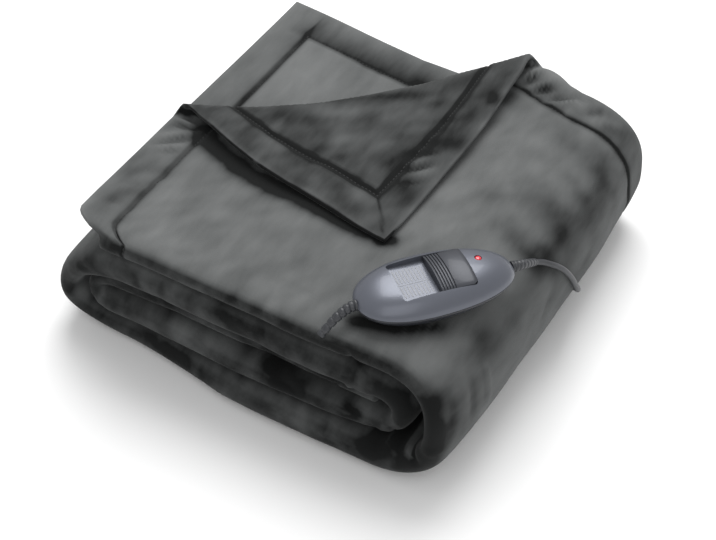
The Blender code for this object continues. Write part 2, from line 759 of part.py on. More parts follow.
def smooth_route(route):
    """Points at even steps on a smooth curve through a route's own points."""
    points = [Vector(p) for p in route]
    ends = [points[0] * 2 - points[1]] + points + [points[-1] * 2 - points[-2]]
    fine = []
    for p0, p1, p2, p3 in zip(ends, ends[1:], ends[2:], ends[3:]):
        for step in range(ROUTE_FINE):
            t = step / ROUTE_FINE
            fine.append(
                0.5 * (2 * p1 + (p2 - p0) * t + (2 * p0 - 5 * p1 + 4 * p2 - p3) * t**2
                       + (3 * p1 - p0 - 3 * p2 + p3) * t**3)
            )
    fine.append(points[-1])
    lengths = [0.0]
    for a, b in zip(fine, fine[1:]):
        lengths.append(lengths[-1] + (b - a).length)
    count = max(2, round(lengths[-1] / CORD_STEP))
    even, index = [], 0
    for k in range(count + 1):
        want = lengths[-1] * k / count
        while index < len(lengths) - 2 and lengths[index + 1] < want:
            index += 1
        span = lengths[index + 1] - lengths[index]
        even.append(fine[index].lerp(fine[index + 1], (want - lengths[index]) / span if span else 0.0))
    return even


def build_cord(name, route, material):
    """A round cord along a route."""
    points = smooth_route(route)
    curve = bpy.data.curves.new(name, "CURVE")
    curve.dimensions = "3D"
    curve.bevel_depth = CORD_THICK / 2.0 * MM
    curve.bevel_resolution = 2
    curve.use_fill_caps = True
    spline = curve.splines.new("POLY")
    spline.points.add(len(points) - 1)
    for slot, point in zip(spline.points, points, strict=True):
        slot.co = (*(point * MM), 1.0)
    curve.materials.append(material)
    cord = bpy.data.objects.new(name, curve)
    bpy.context.scene.collection.objects.link(cord)


def build_coil(material):
    """The put-away length of the cord: the outer shape of its wound turns."""
    half = COIL_ACROSS * CORD_THICK / 2.0
    high = COIL_UP * CORD_THICK
    chamfer = CORD_THICK * COIL_CHAMFER
    profile = (
        (COIL_MIDDLE - half, chamfer), (COIL_MIDDLE - half + chamfer, 0.0),
        (COIL_MIDDLE + half - chamfer, 0.0), (COIL_MIDDLE + half, chamfer),
        (COIL_MIDDLE + half, high - chamfer), (COIL_MIDDLE + half - chamfer, high),
        (COIL_MIDDLE - half + chamfer, high), (COIL_MIDDLE - half, high - chamfer),
    )
    bm = bmesh.new()
    turns = []
    for k in range(COIL_SIDES):
        angle = 2.0 * math.pi * k / COIL_SIDES
        ring = [
            bm.verts.new(Vector((COIL_AT[0] + r * math.cos(angle), COIL_AT[1] + r * math.sin(angle), z)) * MM)
            for r, z in profile
        ]
        turns.append(ring)
    for k, ring in enumerate(turns):
        following = turns[(k + 1) % COIL_SIDES]
        for m in range(len(profile)):
            n = (m + 1) % len(profile)
            bm.faces.new((ring[m], ring[n], following[n], following[m]))
    finished_object(bm, "cord_coil", material)


def build_plug(material, metal):
    """A flat two-pin plug lying by the coil, with its pins pointing away from the cord."""
    x, y, z = PLUG_AT
    rings = []
    for section in PLUG_SECTIONS:
        ring = []
        for k in range(PLUG_SIDES):
            angle = 2.0 * math.pi * k / PLUG_SIDES
            c, s = math.cos(angle), math.sin(angle)
            ring.append((
                x + section.along,
                y + math.copysign(abs(c) ** PLUG_FULL_WIDE, c) * PLUG_WIDE / 2.0 * section.wide,
                z + math.copysign(abs(s) ** PLUG_FULL_HIGH, s) * PLUG_HIGH / 2.0 * section.high,
            ))
        rings.append(ring)
    finished_object(loft(rings), "plug", material)
    face = x + PLUG_SECTIONS[-1].along - GAP
    for name, side in (("plug_pin_left", -1.0), ("plug_pin_right", 1.0)):
        pin = Vector((0.0, y + side * PIN_SPREAD / 2.0, z))
        steps = ((face, 1.0), (face - PIN_LONG + PIN_TIP, 1.0), (face - PIN_LONG, PIN_TIP_SCALE))
        rings = [
            ring_about(Vector((along, pin.y, pin.z)), Vector((-1.0, 0.0, 0.0)), PIN_RADIUS * scale, PIN_SIDES)
            for along, scale in steps
        ]
        finished_object(loft(rings), name, metal)


def clear_scene():
    """Starts from an empty scene."""
    for old in list(bpy.data.objects):
        bpy.data.objects.remove(old, do_unlink=True)


def main():
    clear_scene()
    plush = plain_material("plush", (0.10, 0.105, 0.105), 0.95)
    shell = plain_material("shell_plastic", (0.055, 0.058, 0.068), 0.38)
    grip = plain_material("slider_plastic", (0.075, 0.079, 0.092), 0.35)
    glass = plain_material("pilot_lens", (0.75, 0.03, 0.04), 0.15)
    rubber = plain_material("cord_rubber", (0.045, 0.047, 0.052), 0.45)
    metal = plain_material("pin_metal", (0.72, 0.70, 0.66), 0.25, 1.0)

    build_blanket(plush)
    build_handset(handset_frame(), shell, grip, glass)
    build_relief("relief_blanket", -1.0, BLANKET_RELIEF_TIP, rubber)
    build_relief("relief_mains", 1.0, MAINS_RELIEF_TIP, rubber)
    build_cord("mains_cord", CORD_ROUTE, rubber)
    build_coil(rubber)
    build_cord("plug_lead", PLUG_ROUTE, rubber)
    build_plug(rubber, metal)


main()
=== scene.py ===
"""Looks of the folded heated blanket: plush cloth, hand controller, leads, studio and camera.

Lengths in the tables are millimetres in the row frame. Meshes are written in metres.
"""

import logging
import math
from collections.abc import Sequence
from dataclasses import dataclass, field
from enum import Enum

import bmesh
import bpy
import numpy as np
from mathutils import Euler, Matrix, Vector


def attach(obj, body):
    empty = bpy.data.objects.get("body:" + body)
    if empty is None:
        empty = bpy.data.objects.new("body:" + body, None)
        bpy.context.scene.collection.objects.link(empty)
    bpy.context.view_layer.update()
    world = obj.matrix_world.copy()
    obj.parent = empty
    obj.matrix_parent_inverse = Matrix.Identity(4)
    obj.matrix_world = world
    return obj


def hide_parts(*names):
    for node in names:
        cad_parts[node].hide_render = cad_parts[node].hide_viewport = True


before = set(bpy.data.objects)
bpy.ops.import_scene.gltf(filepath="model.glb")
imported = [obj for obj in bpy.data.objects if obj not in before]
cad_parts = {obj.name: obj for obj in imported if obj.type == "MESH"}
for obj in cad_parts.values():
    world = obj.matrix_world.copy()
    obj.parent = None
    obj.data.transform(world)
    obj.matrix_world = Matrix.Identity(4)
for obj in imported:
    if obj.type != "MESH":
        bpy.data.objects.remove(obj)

log = logging.getLogger("heated_blanket")

MM = 0.001
STACK = "stack"
SWITCH = "slide_switch"
Point = tuple[float, float, float]
Array = np.ndarray


class Slot(Enum):
    """The record's material slots."""

    PLUSH = "plush"
    SHELL = "shell_plastic"
    SWITCH = "slider_plastic"
    LENS = "pilot_lens"
    RUBBER = "cord_rubber"
    METAL = "pin_metal"


class Side(Enum):
    """The two faces of the cloth: the one shown outside, and the one the turned-back corner shows."""

    OUTER = 0.5
    UNDER = -0.5


class Face(Enum):
    """Where a crease or a patch of drawn pile and painted shade lies; the value is the axis that counts
    little for nearness.
    """

    SIDE = 0
    FRONT = 1
    TOP = 2


# ---- small helpers -------------------------------------------------------------------------------
def lerp(a: float, b: float, share: Array | float) -> Array | float:
    """The value a share of the way from a to b."""
    return a + (b - a) * share


def ease(share: Array | float) -> Array | float:
    """0 to 1 with a soft start and end."""
    kept = np.clip(share, 0.0, 1.0)
    return kept * kept * (3.0 - 2.0 * kept)


def signed_power(value: Array | float, power: float) -> Array | float:
    """A power that keeps its sign, for rounded-square curves."""
    return np.sign(value) * np.abs(value) ** power


def round_angles(count: int) -> Array:
    """Even angles once round, in radians."""
    return np.linspace(0.0, 2.0 * math.pi, count, endpoint=False)


@dataclass(frozen=True)
class SoftNoise:
    """Smooth repeatable noise in space, from about -1 to 1."""

    seed: int
    cells: int = 64

    def at(self, x: Array, y: Array, z: Array, size: float) -> Array:
        """Noise at points.

        Args:
            x: First coordinates, in millimetres.
            y: Second coordinates.
            z: Third coordinates.
            size: Width of one lattice cell, in millimetres.

        Returns:
            One value for each point.
        """
        lattice = np.random.default_rng(self.seed).uniform(-1.0, 1.0, (self.cells,) * 3)
        total = 0.0
        parts = []
        for values in (x, y, z):
            scaled = np.asarray(values, float) / size + self.cells / 2.0
            low = np.floor(scaled)
            parts.append((low.astype(int), ease(scaled - low)))
        for i in (0, 1):
            for j in (0, 1):
                for k in (0, 1):
                    weight = 1.0
                    index = []
                    for step, (low, share) in zip((i, j, k), parts, strict=True):
                        weight = weight * (share if step else 1.0 - share)
                        index.append((low + step) % self.cells)
                    total = total + weight * lattice[tuple(index)]
        return total


DRAPE_NOISE = SoftNoise(5)
BROAD_NOISE = SoftNoise(11)
SMALL_NOISE = SoftNoise(23)
CLOUD_NOISE = SoftNoise(31)
SPECK_NOISE = SoftNoise(37)
GATHER_NOISE = SoftNoise(43)
FINE_GATHER_NOISE = SoftNoise(47)


def mesh_object(
    name: str, points: Array, faces: Sequence[Sequence[int]], smooth: bool = True
) -> bpy.types.Object:
    """Makes a mesh object with its place in its vertices.

    Args:
        name: Name of the piece.
        points: Corners in millimetres.
        faces: Corner numbers of each face.
        smooth: Whether the faces are shaded smooth.

    Returns:
        The new object, linked to the scene.
    """
    mesh = bpy.data.meshes.new(name)
    mesh.from_pydata((np.asarray(points, float) * MM).tolist(), [], [list(map(int, face)) for face in faces])
    if smooth:
        mesh.shade_smooth()
    mesh.validate()
    made = bpy.data.objects.new(name, mesh)
    bpy.context.scene.collection.objects.link(made)
    return made


def outward(made: bpy.types.Object) -> None:
    """Turns a closed mesh's faces outwards."""
    bm = bmesh.new()
    bm.from_mesh(made.data)
    bmesh.ops.recalc_face_normals(bm, faces=bm.faces[:])
    bm.to_mesh(made.data)
    bm.free()


def loft(name: str, rings: Sequence[Sequence[Point]], sharp: float = 35.0) -> bpy.types.Object:
    """A closed body through rings of points that have the same count.

    Args:
        name: Name of the piece.
        rings: Rings of points, in millimetres.
        sharp: Angle in degrees past which an edge is drawn sharp.

    Returns:
        The new object.
    """
    count = len(rings[0])
    points = [tuple(p) for ring in rings for p in ring]
    faces = []
    for level in range(len(rings) - 1):
        for k in range(count):
            a, b = level * count + k, level * count + (k + 1) % count
            faces.append((a, b, b + count, a + count))
    faces.append(tuple(range(count - 1, -1, -1)))
    top = (len(rings) - 1) * count
    faces.append(tuple(range(top, top + count)))
    made = mesh_object(name, points, faces)
    outward(made)
    made.data.shade_smooth()
    made.data.set_sharp_from_angle(angle=math.radians(sharp))
    return made


def finish_piece(made: bpy.types.Object, body: str, material: bpy.types.Material) -> None:
    """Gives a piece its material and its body."""
    made.data.materials.clear()
    made.data.materials.append(material)
    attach(made, body)
    log.info("piece %s on %s", made.name, body)


# ---- finishes ------------------------------------------------------------------------------------
class Links:
    """A short way to add and join shader nodes."""

    def __init__(self, tree: bpy.types.NodeTree) -> None:
        """Keeps the tree."""
        self.tree = tree

    def add(self, kind: str, **values: object) -> bpy.types.Node:
        """Adds a node and sets its properties and, by name with a leading 'in_', its inputs."""
        node = self.tree.nodes.new(kind)
        for key, value in values.items():
            if key.startswith("in_"):
                node.inputs[key[3:].replace("_", " ")].default_value = value
            else:
                setattr(node, key, value)
        return node

    def join(self, output: bpy.types.NodeSocket, to: bpy.types.NodeSocket) -> None:
        """Joins two sockets."""
        self.tree.links.new(output, to)


def grain_group() -> bpy.types.NodeTree:
    """A fine uneven grain that plush, rubber and plastic share, as a height.

    Returns:
        A node group with Vector and Scale inputs and a Height output.
    """
    found = bpy.data.node_groups.get("fine_grain")
    if found:
        return found
    group = bpy.data.node_groups.new("fine_grain", "ShaderNodeTree")
    group.interface.new_socket("Vector", in_out="INPUT", socket_type="NodeSocketVector")
    group.interface.new_socket("Scale", in_out="INPUT", socket_type="NodeSocketFloat")
    group.interface.new_socket("Height", in_out="OUTPUT", socket_type="NodeSocketFloat")
    links = Links(group)
    entry, end = links.add("NodeGroupInput"), links.add("NodeGroupOutput")
    noise = links.add("ShaderNodeTexNoise", in_Detail=3.0, in_Roughness=0.6)
    links.join(entry.outputs["Vector"], noise.inputs["Vector"])
    links.join(entry.outputs["Scale"], noise.inputs["Scale"])
    links.join(noise.outputs["Fac"], end.inputs["Height"])
    return group


def add_grain(links: Links, scale: float, strength: float, depth: float) -> None:
    """Leads the shared grain through a bump to a material's normal.

    Args:
        links: The material's nodes.
        scale: Scale of the grain.
        strength: Strength of the bump.
        depth: Depth of the bump, in metres.
    """
    place = links.add("ShaderNodeTexCoord")
    grain = links.add("ShaderNodeGroup", node_tree=grain_group())
    grain.inputs["Scale"].default_value = scale
    links.join(place.outputs["Object"], grain.inputs["Vector"])
    bump = links.add("ShaderNodeBump", in_Strength=strength, in_Distance=depth)
    links.join(grain.outputs["Height"], bump.inputs["Height"])
    links.join(bump.outputs["Normal"], links.tree.nodes["Principled BSDF"].inputs["Normal"])


@dataclass(frozen=True)
class PlushFinish:
    """Short-pile plush: light and dark follow a mesh attribute that holds the pile's own brushing together
    with painted shade and painted highlight, with a soft sheen and a fine bumped grain.
    """

    # The darkest colour of the ramp serves the painted shade and painted shadows in the pile.
    dark: Point = (0.0075, 0.0080, 0.0080)
    middle: Point = (0.088, 0.0915, 0.0915)
    light: Point = (0.160, 0.1645, 0.1640)
    roughness: float = 0.88
    sheen: float = 0.10
    sheen_roughness: float = 0.45
    sheen_tint: Point = (0.80, 0.82, 0.82)
    specular: float = 0.12
    brush_turn: float = 31.0
    brush_stretch: float = 0.35
    streak_scale: float = 60.0
    streak_range: float = 0.55
    nap_scale: float = 1400.0
    nap_strength: float = 0.5
    nap_depth: float = 0.0005

    def build(self, name: str) -> bpy.types.Material:
        """The material; its colour follows the mesh's own lightness attribute, which holds painted shade and
        painted highlight as well as the pile's own tone.
        """
        material = bpy.data.materials.new(name)
        material.use_nodes = True
        links = Links(material.node_tree)
        shader = material.node_tree.nodes["Principled BSDF"]
        shader.inputs["Roughness"].default_value = self.roughness
        shader.inputs["Sheen Weight"].default_value = self.sheen
        shader.inputs["Sheen Roughness"].default_value = self.sheen_roughness
        shader.inputs["Sheen Tint"].default_value = (*self.sheen_tint, 1.0)
        shader.inputs["Specular IOR Level"].default_value = self.specular
        place = links.add("ShaderNodeTexCoord")
        # This attribute carries painted shade and painted highlight as well as the pile's own tone.
        pile_and_shade = links.add("ShaderNodeAttribute", attribute_name="pile_and_shade")
        stretch = links.add("ShaderNodeMapping", in_Rotation=(0.0, 0.0, math.radians(self.brush_turn)))
        stretch.inputs["Scale"].default_value = (1.0, self.brush_stretch, 1.0)
        streaks = links.add(
            "ShaderNodeTexNoise", in_Scale=self.streak_scale, in_Detail=4.0, in_Roughness=0.55
        )
        links.join(place.outputs["Object"], stretch.inputs["Vector"])
        links.join(stretch.outputs["Vector"], streaks.inputs["Vector"])
        centred = links.add("ShaderNodeMath", operation="MULTIPLY_ADD")
        centred.inputs[1].default_value = self.streak_range
        centred.inputs[2].default_value = -self.streak_range / 2.0
        links.join(streaks.outputs["Fac"], centred.inputs[0])
        total = links.add("ShaderNodeMath", operation="ADD")
        links.join(pile_and_shade.outputs["Fac"], total.inputs[0])
        links.join(centred.outputs[0], total.inputs[1])
        ramp = links.add("ShaderNodeValToRGB")
        ramp.color_ramp.elements[0].color = (*self.dark, 1.0)
        ramp.color_ramp.elements[1].color = (*self.light, 1.0)
        ramp.color_ramp.elements.new(0.5).color = (*self.middle, 1.0)
        links.join(total.outputs[0], ramp.inputs["Fac"])
        links.join(ramp.outputs["Color"], shader.inputs["Base Color"])
        add_grain(links, self.nap_scale, self.nap_strength, self.nap_depth)
        return material


@dataclass(frozen=True)
class SolidFinish:
    """A plain finish of one colour, with a fine grain in its relief."""

    colour: Point
    roughness: float
    metallic: float = 0.0
    coat: float = 0.0
    grain_scale: float = 2500.0
    grain_strength: float = 0.4
    grain_depth: float = 0.00002
    glow: float = 0.0

    def build(self, name: str) -> bpy.types.Material:
        """The material."""
        material = bpy.data.materials.new(name)
        material.use_nodes = True
        links = Links(material.node_tree)
        shader = material.node_tree.nodes["Principled BSDF"]
        shader.inputs["Base Color"].default_value = (*self.colour, 1.0)
        shader.inputs["Roughness"].default_value = self.roughness
        shader.inputs["Metallic"].default_value = self.metallic
        shader.inputs["Coat Weight"].default_value = self.coat
        if self.glow > 0.0:
            shader.inputs["Emission Color"].default_value = (*self.colour, 1.0)
            shader.inputs["Emission Strength"].default_value = self.glow
        if self.grain_depth > 0.0:
            add_grain(links, self.grain_scale, self.grain_strength, self.grain_depth)
        return material


SHELL_FINISH = SolidFinish((0.115, 0.123, 0.148), 0.36, metallic=0.45, coat=0.15)
SWITCH_FINISH = SolidFinish((0.036, 0.039, 0.048), 0.42, metallic=0.35, coat=0.10)
# Painted shade: the lower shell is a darker copy of the shell plastic, for the shade on the controller's
# lower side.
SHADED_UNDER_SHELL_FINISH = SolidFinish((0.020, 0.022, 0.028), 0.40, coat=0.10)
RECESS_PRINT = SolidFinish((0.25, 0.26, 0.285), 0.5, grain_depth=0.0)
LENS_FINISH = SolidFinish((0.55, 0.02, 0.035), 0.15, coat=0.5, glow=0.22, grain_depth=0.0)
RUBBER_FINISH = SolidFinish((0.032, 0.034, 0.039), 0.42)
METAL_FINISH = SolidFinish((0.72, 0.70, 0.66), 0.22, metallic=1.0)
THREAD_FINISH = SolidFinish((0.014, 0.015, 0.015), 0.70, grain_depth=0.0)


# ---- studio --------------------------------------------------------------------------------------
@dataclass(frozen=True)
class PhotoCamera:
    """The camera that sees the object as the photograph does."""

    azimuth: float = 30.61
    elevation: float = 45.30
    distance: float = 1.48
    target: Point = (-0.0015, -0.0035, 0.0)
    lens: float = 90.41
    sensor: float = 36.0
    shift: tuple[float, float] = (0.00477, 0.00106)

    def build(self) -> None:
        """Adds the camera and makes it the scene's."""
        az, el = math.radians(self.azimuth), math.radians(self.elevation)
        back = Vector((math.sin(az) * math.cos(el), -math.cos(az) * math.cos(el), math.sin(el)))
        right = Vector((math.cos(az), math.sin(az), 0.0))
        up = back.cross(right)
        data = bpy.data.cameras.new("photo_camera")
        data.lens, data.sensor_width = self.lens, self.sensor
        data.shift_x, data.shift_y = self.shift
        data.clip_start, data.clip_end = 0.05, 20.0
        camera = bpy.data.objects.new("photo_camera", data)
        turn = Matrix((right, up, back)).transposed()
        camera.matrix_world = Matrix.Translation(Vector(self.target) + back * self.distance) @ turn.to_4x4()
        bpy.context.scene.collection.objects.link(camera)
        bpy.context.scene.camera = camera


@dataclass(frozen=True)
class SoftBox:
    """One square studio light that points at the object."""

    name: str
    at: Point
    wide: float
    power: float
    aim: Point = (0.0, 0.0, 0.05)

    def build(self) -> None:
        """Adds the light."""
        data = bpy.data.lights.new(self.name, "AREA")
        data.shape = "SQUARE"
        data.size = self.wide
        data.energy = self.power
        lamp = bpy.data.objects.new(self.name, data)
        lamp.location = self.at
        lamp.rotation_euler = (Vector(self.at) - Vector(self.aim)).to_track_quat("Z", "Y").to_euler()
        bpy.context.scene.collection.objects.link(lamp)


@dataclass(frozen=True)
class Studio:
    """A plain pale floor under soft light."""

    floor_size: float = 12.0
    floor_colour: Point = (0.93, 0.93, 0.93)
    floor_roughness: float = 0.9
    floor_high: float = -0.3
    sky: float = 0.62
    boxes: tuple[SoftBox, ...] = (
        SoftBox("key_light", (-0.4, 0.95, 2.0), 1.5, 44.0),
        SoftBox("fill_light", (0.9, -1.3, 1.5), 1.6, 9.0),
    )

    def build(self) -> None:
        """Adds the floor, the sky and the lights."""
        half = self.floor_size / 2.0 / MM
        corners = [(x * half, y * half, self.floor_high) for x, y in ((-1, -1), (1, -1), (1, 1), (-1, 1))]
        floor = mesh_object("floor", np.array(corners), [(0, 1, 2, 3)], smooth=False)
        paint = SolidFinish(self.floor_colour, self.floor_roughness, grain_depth=0.0)
        floor.data.materials.append(paint.build("floor_paint"))
        world = bpy.data.worlds.new("studio")
        world.use_nodes = True
        world.node_tree.nodes["Background"].inputs["Color"].default_value = (1.0, 1.0, 1.0, 1.0)
        world.node_tree.nodes["Background"].inputs["Strength"].default_value = self.sky
        bpy.context.scene.world = world
        bpy.context.scene.view_settings.view_transform = "Standard"
        for box in self.boxes:
            box.build()


# ---- leads ---------------------------------------------------------------------------------------
MAINS_ROUTE: tuple[Point, ...] = (
    (164.7, -24.2, 112.4), (164.9, -22.1, 110.9), (168.4, -14.7, 106.1), (172.4, -8.9, 101.0),
    (175.6, -3.3, 95.4), (178.4, 2.0, 88.9), (180.5, 8.0, 79.9),
    (181.6, 14.0, 70.1), (181.7, 20.5, 59.2), (181.0, 28.0, 48.1),
    (178.5, 37.0, 36.6), (173.6, 47.0, 25.9), (165.2, 58.0, 15.0), (157.0, 70.0, 6.4), (154.2, 84.0, 2.6),
    (153.4, 100.0, 2.5), (153.4, 130.0, 2.5), (153.5, 163.0, 2.5), (151.5, 186.0, 2.5), (145.0, 205.0, 2.5),
    (134.5, 217.0, 2.5),
)
PLUG_ROUTE: tuple[Point, ...] = ((40.0, 219.5, 4.2), (31.0, 216.5, 4.0), (21.0, 214.0, 6.5))


@dataclass(frozen=True)
class MainsLead:
    """The lead from the controller to the plug, wound up behind the blanket."""

    thick: float = 4.6
    coil_at: tuple[float, float] = (86.0, 221.0)
    coil_middle: float = 27.0
    across: int = 4
    up: int = 3
    turn_points: int = 44
    kept_points: int = 4
    turn_start: float = 0.04
    change_from: float = 0.86
    change_over: float = 0.14
    step: float = 3.0
    smooth_steps: int = 12
    length: float = 2.47

    def spine(self, route: Sequence[Point]) -> list[Vector]:
        """A smooth line through a route's points.

        Args:
            route: The points, in millimetres.

        Returns:
            Closely spaced points, the last one included.
        """
        points = [Vector(p) for p in route]
        ends = [points[0] * 2 - points[1], *points, points[-1] * 2 - points[-2]]
        fine = []
        for p0, p1, p2, p3 in zip(ends, ends[1:], ends[2:], ends[3:]):
            for k in range(self.smooth_steps):
                t = k / self.smooth_steps
                fine.append(
                    0.5 * (2 * p1 + (p2 - p0) * t + (2 * p0 - 5 * p1 + 4 * p2 - p3) * t**2
                           + (3 * p1 - p0 - 3 * p2 + p3) * t**3)
                )
        fine.append(points[-1])
        return fine

    def wound(self) -> list[Point]:
        """The wound turns: layer by layer, from the outside of the lowest to the inside of the highest."""
        places = []
        for layer in range(self.up):
            order = range(self.across) if layer % 2 else range(self.across - 1, -1, -1)
            for place in order:
                radius = self.coil_middle + (place - (self.across - 1) / 2.0) * self.thick
                places.append((radius, (layer + 0.5) * self.thick))
        line = []
        for index, (radius, high) in enumerate(places):
            onward = places[min(index + 1, len(places) - 1)]
            for k in range(self.turn_points):
                share = k / self.turn_points
                angle = 2.0 * math.pi * (share + self.turn_start)
                late = float(ease((share - self.change_from) / self.change_over))
                r = float(lerp(radius, onward[0], late))
                line.append((
                    self.coil_at[0] + r * math.cos(angle), self.coil_at[1] - r * math.sin(angle),
                    float(lerp(high, onward[1], late)),
                ))
        return line

    def route(self) -> list[Vector]:
        """The whole lead, evenly spaced."""
        coil = self.wound()
        radius = self.coil_middle - (self.across - 1) / 2.0 * self.thick
        top = self.up * self.thick + self.thick / 2.0
        # The end crosses over the coil's top and comes down beside it.
        leave = [
            (self.coil_at[0] + radius * 0.62, self.coil_at[1] - radius * 0.55, top - 3.2),
            (self.coil_at[0] + radius * 0.10, self.coil_at[1] - radius * 0.50, top - 0.6),
            (self.coil_at[0] - self.coil_middle * 0.85, self.coil_at[1] - 5.0, top),
            (self.coil_at[0] - self.coil_middle - 8.5, self.coil_at[1] - 3.0, top - 2.2),
        ]
        points = self.spine([*MAINS_ROUTE, *coil[::self.kept_points], *leave, *PLUG_ROUTE])
        lengths = np.concatenate([[0.0], np.cumsum([(b - a).length for a, b in zip(points, points[1:])])])
        count = round(lengths[-1] / self.step)
        wanted = np.linspace(0.0, lengths[-1], count + 1)
        columns = [np.interp(wanted, lengths, [p[axis] for p in points]) for axis in range(3)]
        return [Vector(p) for p in zip(*columns, strict=True)]

    def build(self, rubber: bpy.types.Material, plug: Sequence[bpy.types.Object]) -> None:
        """Args:
            rubber: Its material.
            plug: The pieces at its far end; not used.
        """
        line = self.route()
        log.info("lead length %.3f m", sum((b - a).length for a, b in zip(line, line[1:])) * MM)
        curve = bpy.data.curves.new("mains_lead", "CURVE")
        curve.dimensions = "3D"
        curve.bevel_depth = self.thick / 2.0 * MM
        curve.bevel_resolution = 3
        curve.use_fill_caps = True
        spline = curve.splines.new("POLY")
        spline.points.add(len(line) - 1)
        for point, place in zip(spline.points, line, strict=True):
            point.co = (*(place * MM), 1.0)
        spline.use_smooth = True
        lead = bpy.data.objects.new("mains_lead", curve)
        bpy.context.scene.collection.objects.link(lead)
        finish_piece(lead, STACK, rubber)
        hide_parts("mains_cord", "cord_coil", "plug_lead")


@dataclass(frozen=True)
class Section:
    """One section of the plug: distance from its middle and share of its width and height."""

    along: float
    wide: float
    high: float


@dataclass(frozen=True)
class MainsPlug:
    """A flat two-pin plug."""

    at: Point = (-3.5, 214.0, 6.6)
    wide: float = 26.0
    high: float = 13.0
    sections: tuple[Section, ...] = (
        Section(25.0, 0.28, 0.48), Section(24.6, 0.30, 0.50), Section(22.0, 0.31, 0.51),
        Section(18.0, 0.36, 0.60), Section(14.5, 0.58, 0.78), Section(11.0, 0.78, 0.90),
        Section(7.5, 0.91, 0.97), Section(4.0, 0.97, 1.0), Section(-4.0, 0.99, 1.0),
        Section(-16.5, 1.0, 1.0), Section(-17.6, 0.985, 0.96), Section(-18.0, 0.94, 0.88),
    )
    sides: int = 56
    pin_spread: float = 19.0
    pin_radius: float = 2.0
    pin_sides: int = 24
    face_at: float = 18.0
    pin_gap: float = 0.2
    pin_stations: tuple[tuple[float, float], ...] = (
        (0.0, 1.0), (17.2, 1.0), (18.3, 0.88), (18.9, 0.62), (19.1, 0.30),
    )
    flatness: tuple[float, float] = (0.7, 0.5)

    def pins(self, metal: bpy.types.Material) -> list[bpy.types.Object]:
        """The two round pins."""
        made = []
        face = self.at[0] - self.face_at - self.pin_gap
        for name, side in (("plug_pin_left", -1.0), ("plug_pin_right", 1.0)):
            rings = []
            for along, scale in self.pin_stations:
                rings.append([
                    (
                        face - along,
                        self.at[1] + side * self.pin_spread / 2.0 + self.pin_radius * scale * math.cos(a),
                        self.at[2] + self.pin_radius * scale * math.sin(a),
                    )
                    for a in round_angles(self.pin_sides)
                ])
            pin = loft(name + "_bright", rings)
            finish_piece(pin, STACK, metal)
            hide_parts(name)
            made.append(pin)
        return made

    def build(self, rubber: bpy.types.Material, metal: bpy.types.Material) -> list[bpy.types.Object]:
        """Adds the plug's body and pins.

        Args:
            rubber: Material of the body.
            metal: Material of the pins.

        Returns:
            Its pieces.
        """
        x, y, z = self.at
        rings = []
        for section in self.sections:
            rings.append([
                (
                    x + section.along,
                    y + float(signed_power(math.cos(a), self.flatness[0])) * self.wide / 2.0 * section.wide,
                    z + float(signed_power(math.sin(a), self.flatness[1])) * self.high / 2.0 * section.high,
                )
                for a in round_angles(self.sides)
            ])
        body = loft("plug_body", rings, 50.0)
        finish_piece(body, STACK, rubber)
        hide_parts("plug")
        return [body, *self.pins(metal)]


# ---- controller ----------------------------------------------------------------------------------
@dataclass(frozen=True)
class Ring:
    """One level of a shell: its height and the share of the full outline."""

    high: float
    scale: float


